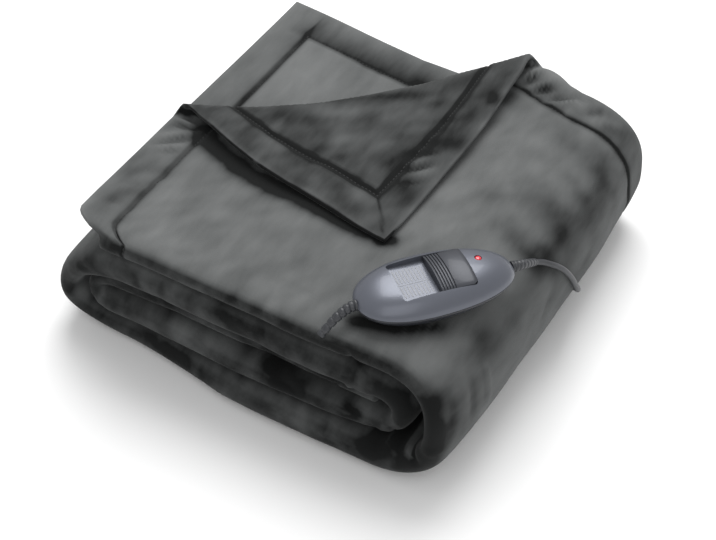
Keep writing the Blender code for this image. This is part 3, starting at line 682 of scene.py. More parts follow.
@dataclass(frozen=True)
class Controller:
    """The hand controller: two shells, slide switch in its track, pilot light, two strain reliefs."""

    at: Point = (122.5, -102.0, 123.0)
    turn: float = math.radians(52.0)
    dip: float = math.radians(3.0)
    long: float = 122.0
    wide: float = 58.0
    egg: float = 0.10
    full: float = 2.3
    sides: int = 120
    lower: tuple[Ring, ...] = (
        Ring(0.0, 0.66), Ring(0.25, 0.72), Ring(1.0, 0.785), Ring(2.2, 0.84), Ring(3.6, 0.885),
        Ring(5.4, 0.93), Ring(7.2, 0.965), Ring(9.2, 0.99), Ring(10.55, 1.0), Ring(10.85, 0.994),
    )
    upper: tuple[Ring, ...] = (
        Ring(11.15, 0.994), Ring(11.45, 1.0), Ring(13.6, 0.987), Ring(15.4, 0.966), Ring(17.0, 0.938),
        Ring(18.9, 0.898), Ring(20.6, 0.852), Ring(22.2, 0.795), Ring(23.6, 0.725), Ring(24.7, 0.645),
        Ring(25.6, 0.548), Ring(26.2, 0.440), Ring(26.6, 0.315), Ring(26.75, 0.16),
    )
    track: tuple[float, float, float] = (-32.0, 25.0, 38.0)
    track_floor: float = 20.2
    track_corner: float = 3.0
    slider_from: float = -3.0
    slider_top: float = 27.3
    slider_crown: float = 2.9
    ribs: int = 5
    rib_from: float = -1.6
    rib_pitch: float = 2.2
    groove: float = 1.0
    groove_deep: float = 0.9
    cutter_top: float = 40.0
    corner_steps: int = 8
    slider_gap: float = 0.3
    slider_steps: int = 24
    lens_at: tuple[float, float] = (34.0, 3.5)
    lens_radius: float = 2.5
    lens_sides: int = 40
    lens_gap: float = 0.3
    lens_floor: float = 21.0
    lens_rings: tuple[Ring, ...] = (
        Ring(21.3, 1.0), Ring(24.3, 1.0), Ring(24.75, 0.95), Ring(25.1, 0.83), Ring(25.35, 0.62),
        Ring(25.5, 0.34),
    )
    parting: float = 11.0
    relief_radii: tuple[float, float] = (4.3, 2.9)
    relief_groove: float = 0.75
    relief_straight: float = 11.0
    relief_ribs: int = 7
    relief_rib_steps: int = 10
    relief_rib_half: float = 0.26
    relief_sides: int = 28
    relief_inset: float = 0.6
    relief_plain_from: float = 0.985
    blanket_tip: Point = (70.5, -172.2, 119.2)
    mains_tip: Point = (164.7, -23.4, 111.8)

    def place(self) -> Matrix:
        """The controller's own frame in the row frame, in millimetres."""
        return Matrix.Translation(Vector(self.at)) @ Euler((0.0, self.dip, self.turn)).to_matrix().to_4x4()

    def put(self, made: bpy.types.Object) -> None:
        """Takes a piece from the controller's own frame to the row frame, in its mesh."""
        placed = self.place()
        placed.translation *= MM
        made.data.transform(placed)

    def outline(self, ring: Ring) -> list[Point]:
        """One ring of the oval, wider towards its blanket end."""
        points = []
        for angle in round_angles(self.sides):
            x = float(signed_power(math.cos(angle), 2.0 / self.full))
            y = float(signed_power(math.sin(angle), 2.0 / self.full)) * (1.0 - self.egg * x)
            points.append((x * self.long / 2.0 * ring.scale, y * self.wide / 2.0 * ring.scale, ring.high))
        return points

    def track_block(self) -> list[list[Point]]:
        """Two rings of the block that cuts the track, with round corners in plan."""
        (x_from, x_to, wide), corner = self.track, self.track_corner
        rings = []
        for level in (self.track_floor, self.cutter_top):
            ring = []
            for quarter, (cx, cy) in enumerate(((1, 1), (-1, 1), (-1, -1), (1, -1))):
                x = (x_to - corner) if cx > 0 else (x_from + corner)
                y = cy * (wide / 2.0 - corner)
                for step in range(self.corner_steps + 1):
                    angle = math.pi / 2.0 * (quarter + step / self.corner_steps)
                    ring.append((x + corner * math.cos(angle), y + corner * math.sin(angle), level))
            rings.append(ring)
        return rings

    def disc(self, radius: float, high: float) -> list[Point]:
        """A level ring about the pilot light's middle."""
        x, y = self.lens_at
        angles = round_angles(self.lens_sides)
        return [(x + radius * math.cos(a), y + radius * math.sin(a), high) for a in angles]

    def carve(self, target: bpy.types.Object, cutter: bpy.types.Object) -> None:
        """Takes a cutter out of a piece for good."""
        cut = target.modifiers.new("cut", "BOOLEAN")
        cut.operation, cut.solver, cut.object = "DIFFERENCE", "EXACT", cutter
        self.settle(target)
        bpy.data.objects.remove(cutter, do_unlink=True)

    def settle(self, target: bpy.types.Object) -> None:
        """Makes a piece's modifiers part of its mesh."""
        graph = bpy.context.evaluated_depsgraph_get()
        made = bpy.data.meshes.new_from_object(target.evaluated_get(graph))
        target.modifiers.clear()
        old = target.data
        target.data = made
        bpy.data.meshes.remove(old)

    def shells(self, shell: bpy.types.Material, under: bpy.types.Material) -> None:
        """Lower and upper shell, the upper one with its track and the hole for the light.

        Args:
            shell: Material of the upper shell.
            under: Material of the lower one, a dark copy of the shell plastic that paints the shade on the
                controller's lower side.
        """
        lower = loft("shell_lower", [self.outline(r) for r in self.lower], 60.0)
        self.put(lower)
        finish_piece(lower, STACK, under)
        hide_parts("handset_lower")
        upper = loft("shell_upper", [self.outline(r) for r in self.upper], 60.0)
        self.carve(upper, loft("track", self.track_block()))
        radius = self.lens_radius + self.lens_gap
        hole = [self.disc(radius, high) for high in (self.lens_floor, self.cutter_top)]
        self.carve(upper, loft("hole", hole))
        upper.data.shade_smooth()
        upper.data.set_sharp_from_angle(angle=math.radians(38.0))
        self.put(upper)
        finish_piece(upper, STACK, shell)
        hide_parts("handset_upper")

    def slider(self, finish: bpy.types.Material) -> None:
        """The slide switch: a crowned block with grip ribs."""
        x_from, x_to = self.slider_from, self.track[1] - self.slider_gap
        half = self.track[2] / 2.0 - self.slider_gap
        floor = self.track_floor + self.slider_gap
        stations = [(x_from, 0.25), (x_from + 0.25, 0.0)]
        for rib in range(self.ribs):
            start = self.rib_from + rib * self.rib_pitch
            stations += [
                (start, 0.0), (start + 0.16, 0.12), (start + 0.3, self.groove_deep),
                (start + self.groove - 0.3, self.groove_deep), (start + self.groove - 0.16, 0.12),
                (start + self.groove, 0.0),
            ]
        last = x_to - self.track_corner
        stations += [(last, 0.0), (x_to - 0.4, 0.0), (x_to, 0.3)]
        rings = []
        for x, groove in stations:
            past = max(0.0, x - last)
            inset = self.track_corner - math.sqrt(max(0.0, self.track_corner**2 - past**2))
            reach = half - min(inset, self.track_corner)
            ring = [(x, -reach, floor)]
            for step in range(self.slider_steps + 1):
                y = reach * (-1.0 + step / (self.slider_steps / 2.0))
                side = max(0.0, abs(y) / half - 0.975) * 16.0
                ring.append((x, y, self.slider_top - self.slider_crown * (y / half) ** 2 - groove - side))
            ring.append((x, reach, floor))
            rings.append(ring)
        slider = loft("slide_switch_cap", rings, 42.0)
        self.put(slider)
        finish_piece(slider, SWITCH, finish)
        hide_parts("slider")

    def lens(self, finish: bpy.types.Material) -> None:
        """The red dome of the pilot light."""
        rings = [self.disc(self.lens_radius * ring.scale, ring.high) for ring in self.lens_rings]
        dome = loft("pilot_dome", rings, 60.0)
        self.put(dome)
        finish_piece(dome, STACK, finish)
        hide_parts("pilot_light")

    def scale_marks(self, pale: bpy.types.Material) -> None:
        """The printed pale scale in the track: two rows of fine ticks with a line between them."""
        boxes = [(-29.5, -6.0, -1.2, -0.6)]
        for k in range(9):
            x = -28.6 + 2.6 * k
            boxes.append((x, x + 1.0, 0.8, 14.0 - 0.5 * (k % 2)))
            boxes.append((x, x + 1.0, -13.5 + 0.5 * (k % 2), -2.6))
        points, faces = [], []
        low, high = self.track_floor, self.track_floor + 0.12
        for x0, x1, y0, y1 in boxes:
            n = len(points)
            points += [(x, y, z) for z in (low, high) for x, y in ((x0, y0), (x1, y0), (x1, y1), (x0, y1))]
            faces += [(n, n + 3, n + 2, n + 1), (n + 4, n + 5, n + 6, n + 7)]
            faces += [(n + k, n + (k + 1) % 4, n + 4 + (k + 1) % 4, n + 4 + k) for k in range(4)]
        marks = mesh_object("scale_marks", np.array(points), faces, smooth=False)
        self.put(marks)
        finish_piece(marks, STACK, pale)

    def relief(self, name: str, node: str, end: float, tip: Point, rubber: bpy.types.Material) -> None:
        """A tapered sleeve with rounded ribs.

        Args:
            name: Name of the piece.
            node: The CAD node that it stands for.
            end: -1 for the blanket end, 1 for the mains end.
            tip: Middle of its thin end.
            rubber: Its material.
        """
        place = self.place()
        reach = self.long / 2.0 - self.relief_inset
        root = place @ Vector((end * reach, 0.0, self.parting))
        bend = place @ Vector((end * (reach + self.relief_straight), 0.0, self.parting))
        far = Vector(tip)
        rings = []
        steps = self.relief_ribs * self.relief_rib_steps
        for k in range(steps + 1):
            t = k / steps
            point = root * (1 - t) ** 2 + bend * 2 * t * (1 - t) + far * t * t
            way = ((bend - root) * 2 * (1 - t) + (far - bend) * 2 * t).normalized()
            radius = lerp(*self.relief_radii, t)
            phase = (t * self.relief_ribs) % 1.0
            groove = float(ease(1.0 - abs(phase - 0.5) / self.relief_rib_half))
            radius -= self.relief_groove * groove * (t < self.relief_plain_from)
            aside = way.cross(Vector((0.0, 0.0, 1.0))).normalized()
            up = aside.cross(way)
            rings.append([
                tuple(point + (aside * math.cos(a) + up * math.sin(a)) * radius)
                for a in round_angles(self.relief_sides)
            ])
        sleeve = loft(name, rings, 50.0)
        finish_piece(sleeve, STACK, rubber)
        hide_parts(node)

    def build(self, rubber: bpy.types.Material) -> None:
        """Adds all of it."""
        self.shells(SHELL_FINISH.build("shell_plastic"), SHADED_UNDER_SHELL_FINISH.build("shaded_under_shell_plastic"))
        self.slider(SWITCH_FINISH.build("slider_plastic"))
        self.lens(LENS_FINISH.build("pilot_lens"))
        self.scale_marks(RECESS_PRINT.build("scale_print"))
        self.relief("sleeve_blanket", "relief_blanket", -1.0, self.blanket_tip, rubber)
        self.relief("sleeve_mains", "relief_mains", 1.0, self.mains_tip, rubber)


# ---- cloth ---------------------------------------------------------------------------------------
FRONT_IN_FROM = 0.4
TOP_IN_FROM = 0.7
UNDER_IN_TO = 0.5
FAR_FROM_CREASE = -999.0


@dataclass(frozen=True)
class Lap:
    """One lap of the roll: ends, under side and top at both ends, front edge and back edges."""

    x_start: float
    x_end: float
    low_start: float
    high_start: float
    low_end: float
    high_end: float
    front: float
    front_in: float
    hem_top: float
    hem_under: float
    fold_back: float
    top_in: float
    under_in: float

    def ends(self, at_end: bool) -> tuple[float, float]:
        """Middle height and full height at its start or end."""
        low, high = (self.low_end, self.high_end) if at_end else (self.low_start, self.high_start)
        return (low + high) / 2.0, high - low

    def edges(self, share: Array | float) -> dict[str, Array | float]:
        """Its front edge and its back edges, which come in along the lap.

        Args:
            share: How far along the lap, from 0 to 1.

        Returns:
            The places of the four edges by name.
        """
        front_in = self.front_in * ease((share - FRONT_IN_FROM) / (1.0 - FRONT_IN_FROM))
        top_in = self.top_in * np.clip((share - TOP_IN_FROM) / (1.0 - TOP_IN_FROM), 0.0, 1.0)
        under_in = self.under_in * np.clip(share / UNDER_IN_TO, 0.0, 1.0)
        return {
            "front": self.front + front_in, "hem_top": self.hem_top - top_in,
            "hem_under": self.hem_under - under_in, "fold_back": self.fold_back - under_in,
        }


@dataclass(frozen=True)
class Turn:
    """One turn between two laps: swing, squeeze, fullness, waist, and draw-in at front and back."""

    bulge: float
    squeeze: float
    full_before: float
    full_after: float
    waist: float
    draw_in: float
    draw_back: float


@dataclass(frozen=True)
class Crease:
    """A soft ridge (positive rise) or trough (negative) along a short line on the cloth's outside."""

    start: Point
    end: Point
    rise: float
    wide: float
    face: Face = Face.TOP


@dataclass(frozen=True)
class PileAndShadePatch:
    """A patch of the pile drawn lighter or darker, some the pile's own brushed mottling and some painted
    shade and painted shadow: where, how large each way, turned how far, how much lighter or darker.
    """

    at: Point
    long: float
    wide: float
    turn: float
    shade: float
    face: Face = Face.TOP


@dataclass(frozen=True)
class FoldRules:
    """Takes the flat sheet to its folded shape: in four across, a flat roll along, one corner turned back."""

    thick: float = 3.8
    loft: float = 0.1
    snug: float = 20.0
    rim: float = 0.45
    laps: tuple[Lap, ...] = (
        Lap(-151.5, 116.0, 103.0, 122.0, 99.5, 122.0, -170.0, 0.0, 179.5, 152.5, 150.0, 19.5, 16.0),
        Lap(116.0, -124.0, 0.0, 31.0, 0.0, 22.0, -177.0, 15.0, 172.0, 176.0, 165.0, 0.0, 0.0),
        Lap(-105.0, 113.0, 75.0, 101.5, 69.0, 98.0, -171.0, 0.0, 153.0, 164.0, 156.0, 0.0, 10.0),
        Lap(113.0, -131.0, 32.0, 50.0, 24.0, 48.5, -169.0, 5.0, 172.0, 168.0, 160.0, 0.0, 0.0),
        Lap(-126.0, 108.0, 49.8, 70.0, 51.5, 68.0, -158.0, 0.0, 168.0, 164.0, 158.0, 0.0, 0.0),
    )
    turns: tuple[Turn, ...] = (
        Turn(54.5, 0.31, 2.6, 2.6, 0.5, 9.0, 8.0), Turn(51.0, 0.30, 2.5, 1.8, 0.31, 4.0, 2.0),
        Turn(21.5, 0.26, 2.1, 2.1, 0.5, 2.0, 2.0), Turn(14.0, 0.28, 2.0, 2.0, 0.5, 0.0, 0.0),
    )
    draw_reach: float = 30.0
    back_reach: float = 90.0
    corner_in: float = 30.0
    corner_from: float = -152.0
    corner_wide: float = 75.0
    corner_sharp: int = 2
    corner_under: float = 8.0
    front_deep: float = 14.0
    inner_fore: float = 4.5
    nominal_pitch: float = 6.2
    crease_start: tuple[float, float] = (-152.5, -18.0)
    crease_end: tuple[float, float] = (57.0, 167.5)
    roll: tuple[float, float] = (4.4, 8.0)
    loop_radius: float = 1.8
    loop_shift: float = 2.2
    loop_long: float = 120.0
    flap_rest: float = 4.2
    flap_fall: float = 175.0
    flap_drift: tuple[float, float] = (-0.053, 0.014)
    flap_on_turn: float = 0.3
    roll_growth: float = 3.0
    crease_bow: float = 20.5
    bow_skew: float = 0.78
    roll_beyond: float = 1.15

    def strip_lengths(self) -> list[float]:
        """Flat length of each lap and turn, in order."""
        lengths = []
        for index, lap in enumerate(self.laps):
            lengths.append(abs(lap.x_end - lap.x_start))
            if index < len(self.turns):
                half = abs(lap.ends(True)[0] - self.laps[index + 1].ends(False)[0]) / 2.0
                lengths.append(math.pi * math.sqrt((half**2 + self.turns[index].bulge ** 2) / 2.0))
        return lengths

    def layer_lengths(self) -> list[float]:
        """Flat length of each layer and fold, in order."""
        top = self.laps[0]
        front = top.front + self.front_deep
        inner = front - self.inner_fore
        fold = math.pi * math.sqrt((self.front_deep**2 + (1.5 * self.nominal_pitch) ** 2) / 2.0)
        small = math.pi * self.nominal_pitch / 2.0
        return [
            top.hem_top - front, fold, top.fold_back - front, small,
            top.fold_back - inner, small, top.hem_under - inner,
        ]

    def cloth_thick(self, strip_high: Array | float) -> Array | float:
        """The cloth is loftier where its lap is loose."""
        return self.thick + self.loft * np.maximum(0.0, strip_high - self.snug)

    def on_lap(self, index: int, share: Array) -> dict[str, Array]:
        """Middle of the strip, its outward direction and its edges on a straight lap."""
        lap = self.laps[index]
        (z_start, h_start), (z_end, h_end) = lap.ends(False), lap.ends(True)
        high = lerp(h_start, h_end, share)
        thick = self.cloth_thick(high)
        facing = -1.0 if lap.x_end < lap.x_start else 1.0
        same = np.ones_like(share)
        return {
            "x": lerp(lap.x_start, lap.x_end, share), "z": lerp(z_start, z_end, share), "nx": 0.0 * same,
            "nz": facing * same, "pitch": (high - thick) / 3.0, "thick": thick, "draw": 0.0 * same,
            "back": 0.0 * same, **lap.edges(share),
        }

    def on_turn(self, index: int, share: Array) -> dict[str, Array]:
        """The same on the turn that follows a lap: half of a full oval."""
        turn, before, after = self.turns[index], self.laps[index], self.laps[index + 1]
        (z_start, h_start), (z_end, h_end) = before.ends(True), after.ends(False)
        angle = math.pi * share
        waist = float(lerp(z_start, z_end, turn.waist))
        early = share < 0.5
        side = 1.0 if before.x_end > before.x_start else -1.0
        base = np.where(early, before.x_end, after.x_start)
        reach = np.where(early, turn.bulge, side * (before.x_end - after.x_start) + turn.bulge)
        half = np.where(early, z_start - waist, waist - z_end)
        full = np.where(early, turn.full_before, turn.full_after)
        out = np.clip(np.sin(angle), 0.0, 1.0) ** (2.0 / full)
        rise = signed_power(np.cos(angle), 2.0 / full)
        slope_x = out ** (full - 1.0) / reach
        slope_z = signed_power(rise, full - 1.0) / half
        size = np.hypot(slope_x, slope_z)
        bend = np.sin(angle)
        high = lerp(h_start, h_end, share) * (1.0 - turn.squeeze * bend)
        thick = self.cloth_thick(high)
        soft = ease(share)
        leaves, enters = before.edges(1.0), after.edges(0.0)
        return {
            "x": base + side * reach * out, "z": waist + half * rise,
            "nx": side * slope_x / size, "nz": slope_z / size, "pitch": (high - thick) / 3.0, "thick": thick,
            "draw": turn.draw_in * bend, "back": turn.draw_back * bend,
            **{name: lerp(leaves[name], enters[name], soft) for name in leaves},
        }

    def along(self, v: Array) -> dict[str, Array]:
        """The strip's places at distances v from the hem at the top lap's left end."""
        lengths = self.strip_lengths()
        names = (
            "x", "z", "nx", "nz", "pitch", "thick",
            "front", "hem_top", "hem_under", "fold_back", "draw", "back",
        )
        found = {name: np.zeros_like(v) for name in names}
        start = 0.0
        for index, length in enumerate(lengths):
            last = index == len(lengths) - 1
            here = ((v > start) | (index == 0)) & ((v <= start + length) | last)
            share = (v[here] - start) / length
            places = self.on_turn(index // 2, share) if index % 2 else self.on_lap(index // 2, share)
            for name, values in places.items():
                found[name][here] = values
            start += length
        return found

    def across(self, u: Array, place: dict[str, Array]) -> tuple[Array, Array, Array, Array]:
        """Position y, height in the strip and outward direction at distances u from the top layer's hem."""
        pitch, front, back = place["pitch"], place["front"] + self.front_deep, place["fold_back"]
        inner = front - self.inner_fore
        lengths = self.layer_lengths()
        starts = np.concatenate([[0.0], np.cumsum(lengths)])
        index = np.clip(np.searchsorted(starts, u, side="left") - 1, 0, len(lengths) - 1)
        share = (u - starts[index]) / np.asarray(lengths)[index]
        angle = math.pi * share
        sin, cos = np.sin(angle), np.cos(angle)
        fold_y, fold_z = -sin / self.front_deep, cos / (1.5 * pitch)
        size = np.hypot(fold_y, fold_z)
        ones = np.ones_like(pitch * u)
        options = [
            (lerp(place["hem_top"], front, share), 1.5 * pitch * ones, 0.0 * ones, ones),
            (front - self.front_deep * sin, 1.5 * pitch * cos, fold_y / size, fold_z / size),
            (lerp(front, back, share), -1.5 * pitch * ones, 0.0 * ones, -ones),
            (back + pitch / 2.0 * sin, -pitch - pitch / 2.0 * cos, sin * ones, -cos * ones),
            (lerp(back, inner, share), -0.5 * pitch * ones, 0.0 * ones, ones),
            (inner - pitch / 2.0 * sin, -pitch / 2.0 * cos, sin * ones, cos * ones),
            (lerp(inner, place["hem_under"], share), 0.5 * pitch * ones, 0.0 * ones, -ones),
        ]
        wide = np.broadcast_to(index, ones.shape)
        here = [wide == k for k in range(len(options))]
        return tuple(np.select(here, [option[part] * ones for option in options]) for part in range(4))

    def crease_frame(self) -> tuple[float, Array, Array, Array]:
        """Length, start, direction and outward direction of the corner's crease."""
        start, end = np.asarray(self.crease_start), np.asarray(self.crease_end)
        long = float(np.linalg.norm(end - start))
        way = (end - start) / long
        return long, start, way, np.array([-way[1], way[0]])

    def bow(self, share: Array | float) -> Array | float:
        """How far the crease bends in, at a share of its length."""
        return self.crease_bow * np.sin(math.pi * np.clip(share, 0.0, 1.0) ** self.bow_skew)

    def loop(self, along: Array) -> Array:
        """Share of the open loop at the crease's left end, fading along it."""
        return np.exp(-np.maximum(0.0, along) / self.loop_long)

    def turn_back(self, x: Array, y: Array, rise: Array) -> tuple[Array, Array, Array]:
        """Rolls points of the top layer over the crease. rise is the height over that layer's middle."""
        long, start, way, out = self.crease_frame()
        dx, dy = x - start[0], y - start[1]
        along, past = dx * way[0] + dy * way[1], dx * out[0] + dy * out[1]
        bow = self.bow(along / long) + self.loop_shift * self.loop(along)
        past = past + bow
        radius = lerp(*self.roll, np.clip(along / long, 0.0, self.roll_beyond) ** self.roll_growth)
        radius = radius + self.loop_radius * self.loop(along)
        reach = math.pi / 2.0 * radius
        angle = (past + reach) / radius
        on_roll = past < reach
        place = np.where(on_roll, -reach + (radius - rise) * np.sin(angle), -past)
        drop = 1.0 - ease((past - reach) / self.flap_fall)
        lift = np.where(
            on_roll, radius - (radius - rise) * np.cos(angle), lerp(self.flap_rest, 2.0 * radius, drop) - rise
        )
        drift = np.where(on_roll, 0.0, past - reach)
        flat = past <= -reach
        place = place - bow
        new_x = start[0] + along * way[0] + place * out[0] + drift * self.flap_drift[0]
        new_y = start[1] + along * way[1] + place * out[1] + drift * self.flap_drift[1]
        return np.where(flat, x, new_x), np.where(flat, y, new_y), np.where(flat, rise, lift)

    def past_crease(self, x: Array, y: Array) -> Array:
        """How far points of the unfolded top layer lie past the corner's crease."""
        long, start, way, out = self.crease_frame()
        along = (x - start[0]) * way[0] + (y - start[1]) * way[1]
        bow = self.bow(along / long) + self.loop_shift * self.loop(along)
        return (x - start[0]) * out[0] + (y - start[1]) * out[1] + bow

    def fold(self, u: Array, v: Array, share: Array, rise: Array) -> tuple[Array, Array]:
        """Takes points of the flat sheet to their folded places.

        Args:
            u: Distances across the sheet, shape (n, 1).
            v: Distances along it, shape (1, m).
            share: Share of the thickness above the middle, shape (n, m).
            rise: Height added to that, shape (n, m).

        Returns:
            Points (n, m, 3) in millimetres, and how far each lies past the corner's crease.
        """
        place = {name: values[None, :] for name, values in self.along(v[0]).items()}
        y, high, y_out, n_out = self.across(u, place)
        out = share * place["thick"] + rise
        y = y + out * y_out
        high = high + out * n_out
        high = high - place["draw"] * np.exp(-np.maximum(0.0, y - place["front"]) / self.draw_reach)
        high = high - place["back"] * np.exp(-np.maximum(0.0, place["hem_top"] - y) / self.back_reach)
        x, z = place["x"] + high * place["nx"], place["z"] + high * place["nz"]
        under = np.maximum(0.0, 1.0 - high / (1.5 * place["pitch"]))
        corner = (self.corner_from - y + self.corner_under * under) / (self.corner_from - self.laps[0].front)
        corner = np.clip(corner, 0.0, 1.0) ** self.corner_sharp
        x = x + self.corner_in * corner * (1.0 - ease(v / self.corner_wide))
        top = self.laps[0]
        middle = top.high_start - float(self.cloth_thick(top.high_start - top.low_start)) / 2.0
        first_lap, first_turn = self.strip_lengths()[:2]
        on_top = (u <= self.layer_lengths()[0]) & (v < first_lap + self.flap_on_turn * first_turn)
        turned_x, turned_y, lift = self.turn_back(x, y, z - middle)
        past = np.where(on_top, self.past_crease(x, y), FAR_FROM_CREASE)
        x, y = np.where(on_top, turned_x, x), np.where(on_top, turned_y, y)
        z = np.where(on_top, middle + lift, z)
        return np.stack([x, y, z], axis=-1), past


CREASE_ROWS: tuple[tuple[Face, tuple[tuple[float, ...], ...]], ...] = (
    (Face.TOP, (
        (-148.1, -28.3, 122.2, -120.2, -32.1, 130.0, -3.0, 2.8),
        (-147.1, -40.7, 122.0, -120.7, -33.5, 122.0, -3.0, 2.8),
        (-147.1, -66.7, 122.0, -123.6, -47.9, 122.0, -2.4, 2.8),
        (-136.8, -72.4, 122.0, -123.6, -63.8, 122.0, -1.8, 3.0),
        (-148.6, -33.5, 122.0, -123.6, -30.7, 122.0, 2.0, 2.6),
        (-147.1, -56.6, 122.0, -125.1, -40.7, 122.0, 1.8, 3.0),
        (-145.6, -72.4, 122.0, -122.1, -58.0, 122.0, 1.8, 3.4),
        (-142.7, -98.3, 122.0, -123.6, -83.9, 122.0, 1.0, 4.0),
        (-139.7, -115.6, 122.0, -120.7, -108.4, 122.0, -1.4, 3.6),
        (-139.7, -137.2, 122.0, -120.7, -134.3, 122.0, -1.2, 4.0),
        (64.4, 148.6, 122.0, 75.7, 168.9, 123.5, 2.6, 2.8),
        (76.2, 143.1, 122.0, 92.3, 161.6, 122.0, 2.2, 2.6),
        (102.6, 137.2, 122.0, 126.7, 158.7, 120.6, 2.2, 3.2),
        (68.8, 143.4, 122.0, 77.6, 162.3, 122.0, -2.8, 2.6),
        (80.6, 138.0, 122.0, 95.3, 152.6, 122.0, -2.6, 2.6),
        (92.3, 138.1, 122.0, 128.8, 160.1, 120.2, -2.8, 3.2),
        (119.3, 134.2, 121.8, 139.8, 153.5, 117.1, -1.8, 3.2),
        (134.6, 133.0, 119.1, 155.1, 151.7, 108.5, 1.4, 4.0), (40.8, 4.6, 129.9, 55.0, 21.0, 130.3, 1.8, 2.8),
        (51.6, -3.5, 129.1, 60.8, 11.2, 129.5, 2.0, 2.8), (41.6, -1.8, 129.5, 56.1, 14.4, 129.9, -2.4, 2.6),
        (45.9, -14.6, 128.7, 60.4, -0.3, 128.9, -2.2, 3.0), (36.3, 14.4, 130.6, 52.8, 29.2, 131.0, -1.8, 2.8),
        (35.9, 32.3, 131.7, 49.7, 49.2, 132.4, 1.2, 3.4), (32.9, 53.7, 133.1, 46.3, 65.9, 133.7, -1.4, 3.4),
        (-69.2, -159.5, 121.8, -51.6, -153.0, 122.0, -1.0, 3.2),
        (11.5, -144.4, 122.0, 21.8, -140.1, 122.0, -0.8, 3.2),
        (26.2, -143.0, 118.1, 43.9, -140.2, 122.0, -0.7, 3.2),
    )),
    (Face.FRONT, (
        (74.7, -171.9, 112.5, 90.9, -171.9, 112.4, -2.4, 3.0),
        (90.9, -171.9, 112.4, 102.5, -163.7, 91.7, -2.4, 3.4),
        (14.0, -159.3, 57.3, 24.7, -156.6, 45.6, -6.0, 4.4),
        (24.7, -156.6, 45.6, 43.8, -170.4, 42.3, -6.0, 4.4),
        (83.4, -158.6, 49.6, 98.1, -170.3, 43.2, -5.0, 3.6),
        (114.6, -169.6, 37.5, 118.3, -173.3, 20.4, -4.5, 3.4),
        (127.8, -171.0, 46.5, 134.6, -170.2, 31.3, -5.0, 3.6),
        (144.2, -167.8, 35.8, 153.2, -177.7, 33.5, -3.5, 2.8),
        (81.6, -159.7, 58.5, 102.5, -165.8, 90.1, 2.8, 3.4),
        (104.0, -166.7, 89.2, 106.9, -156.6, 46.1, 2.6, 3.6),
        (86.4, -170.4, 75.8, 101.0, -162.5, 92.4, -2.4, 2.6),
        (-151.5, -169.5, 75.1, -135.2, -172.2, 77.7, -3.0, 2.6),
        (-104.6, -168.9, 97.3, -81.1, -173.2, 87.8, -2.0, 4.6),
        (-92.8, -168.1, 91.0, -70.8, -173.2, 87.6, 1.6, 3.4),
        (-136.8, -158.6, 52.8, -136.5, -165.2, 34.2, 1.8, 2.6),
        (-118.2, -159.9, 59.9, -113.4, -160.2, 40.7, -2.0, 3.4),
        (-91.4, -162.2, 39.4, -51.7, -164.5, 39.3, 1.6, 5.0),
        (-45.8, -161.9, 47.2, -35.6, -169.1, 40.9, -1.8, 3.4),
        (71.3, -169.7, 22.7, 77.2, -165.9, 24.5, -2.0, 3.2),
        (-102.0, -164.5, 14.3, -55.0, -164.2, 17.4, -1.8, 4.2),
        (158.1, -175.6, 49.9, 168.6, -170.5, 44.9, 1.4, 2.4),
        (-9.1, -168.0, 89.3, 14.4, -172.2, 80.6, -1.8, 5.0),
        (49.6, -168.0, 88.2, 71.7, -172.8, 80.9, 1.6, 5.0),
        (-70.8, -171.3, 81.1, -69.3, -157.8, 43.8, -1.8, 4.0),
        (-27.1, -174.2, 8.0, -2.1, -178.2, 14.9, 1.2, 4.0),
        (80.1, -177.4, 7.8, 99.2, -177.5, 22.3, -1.4, 4.0),
    )),
    (Face.SIDE, (
        (173.2, -113.8, 91.7, 177.9, -113.6, 51.3, 1.6, 2.6),
        (170.3, -132.9, 95.3, 176.7, -136.0, 53.3, -1.6, 4.2),
        (177.6, -14.3, 77.9, 178.8, -33.7, 59.5, -1.4, 5.0),
        (163.0, -157.4, 95.2, 173.0, -163.2, 57.4, -1.4, 5.0),
    )),
    (Face.TOP, (
        (74.0, 168.0, 124.0, 104.0, 172.0, 122.0, 5.0, 13.0),
    )),
)
CREASES = tuple(
    Crease(row[:3], row[3:6], rise=row[6], wide=row[7], face=face)
    for face, rows in CREASE_ROWS for row in rows
)
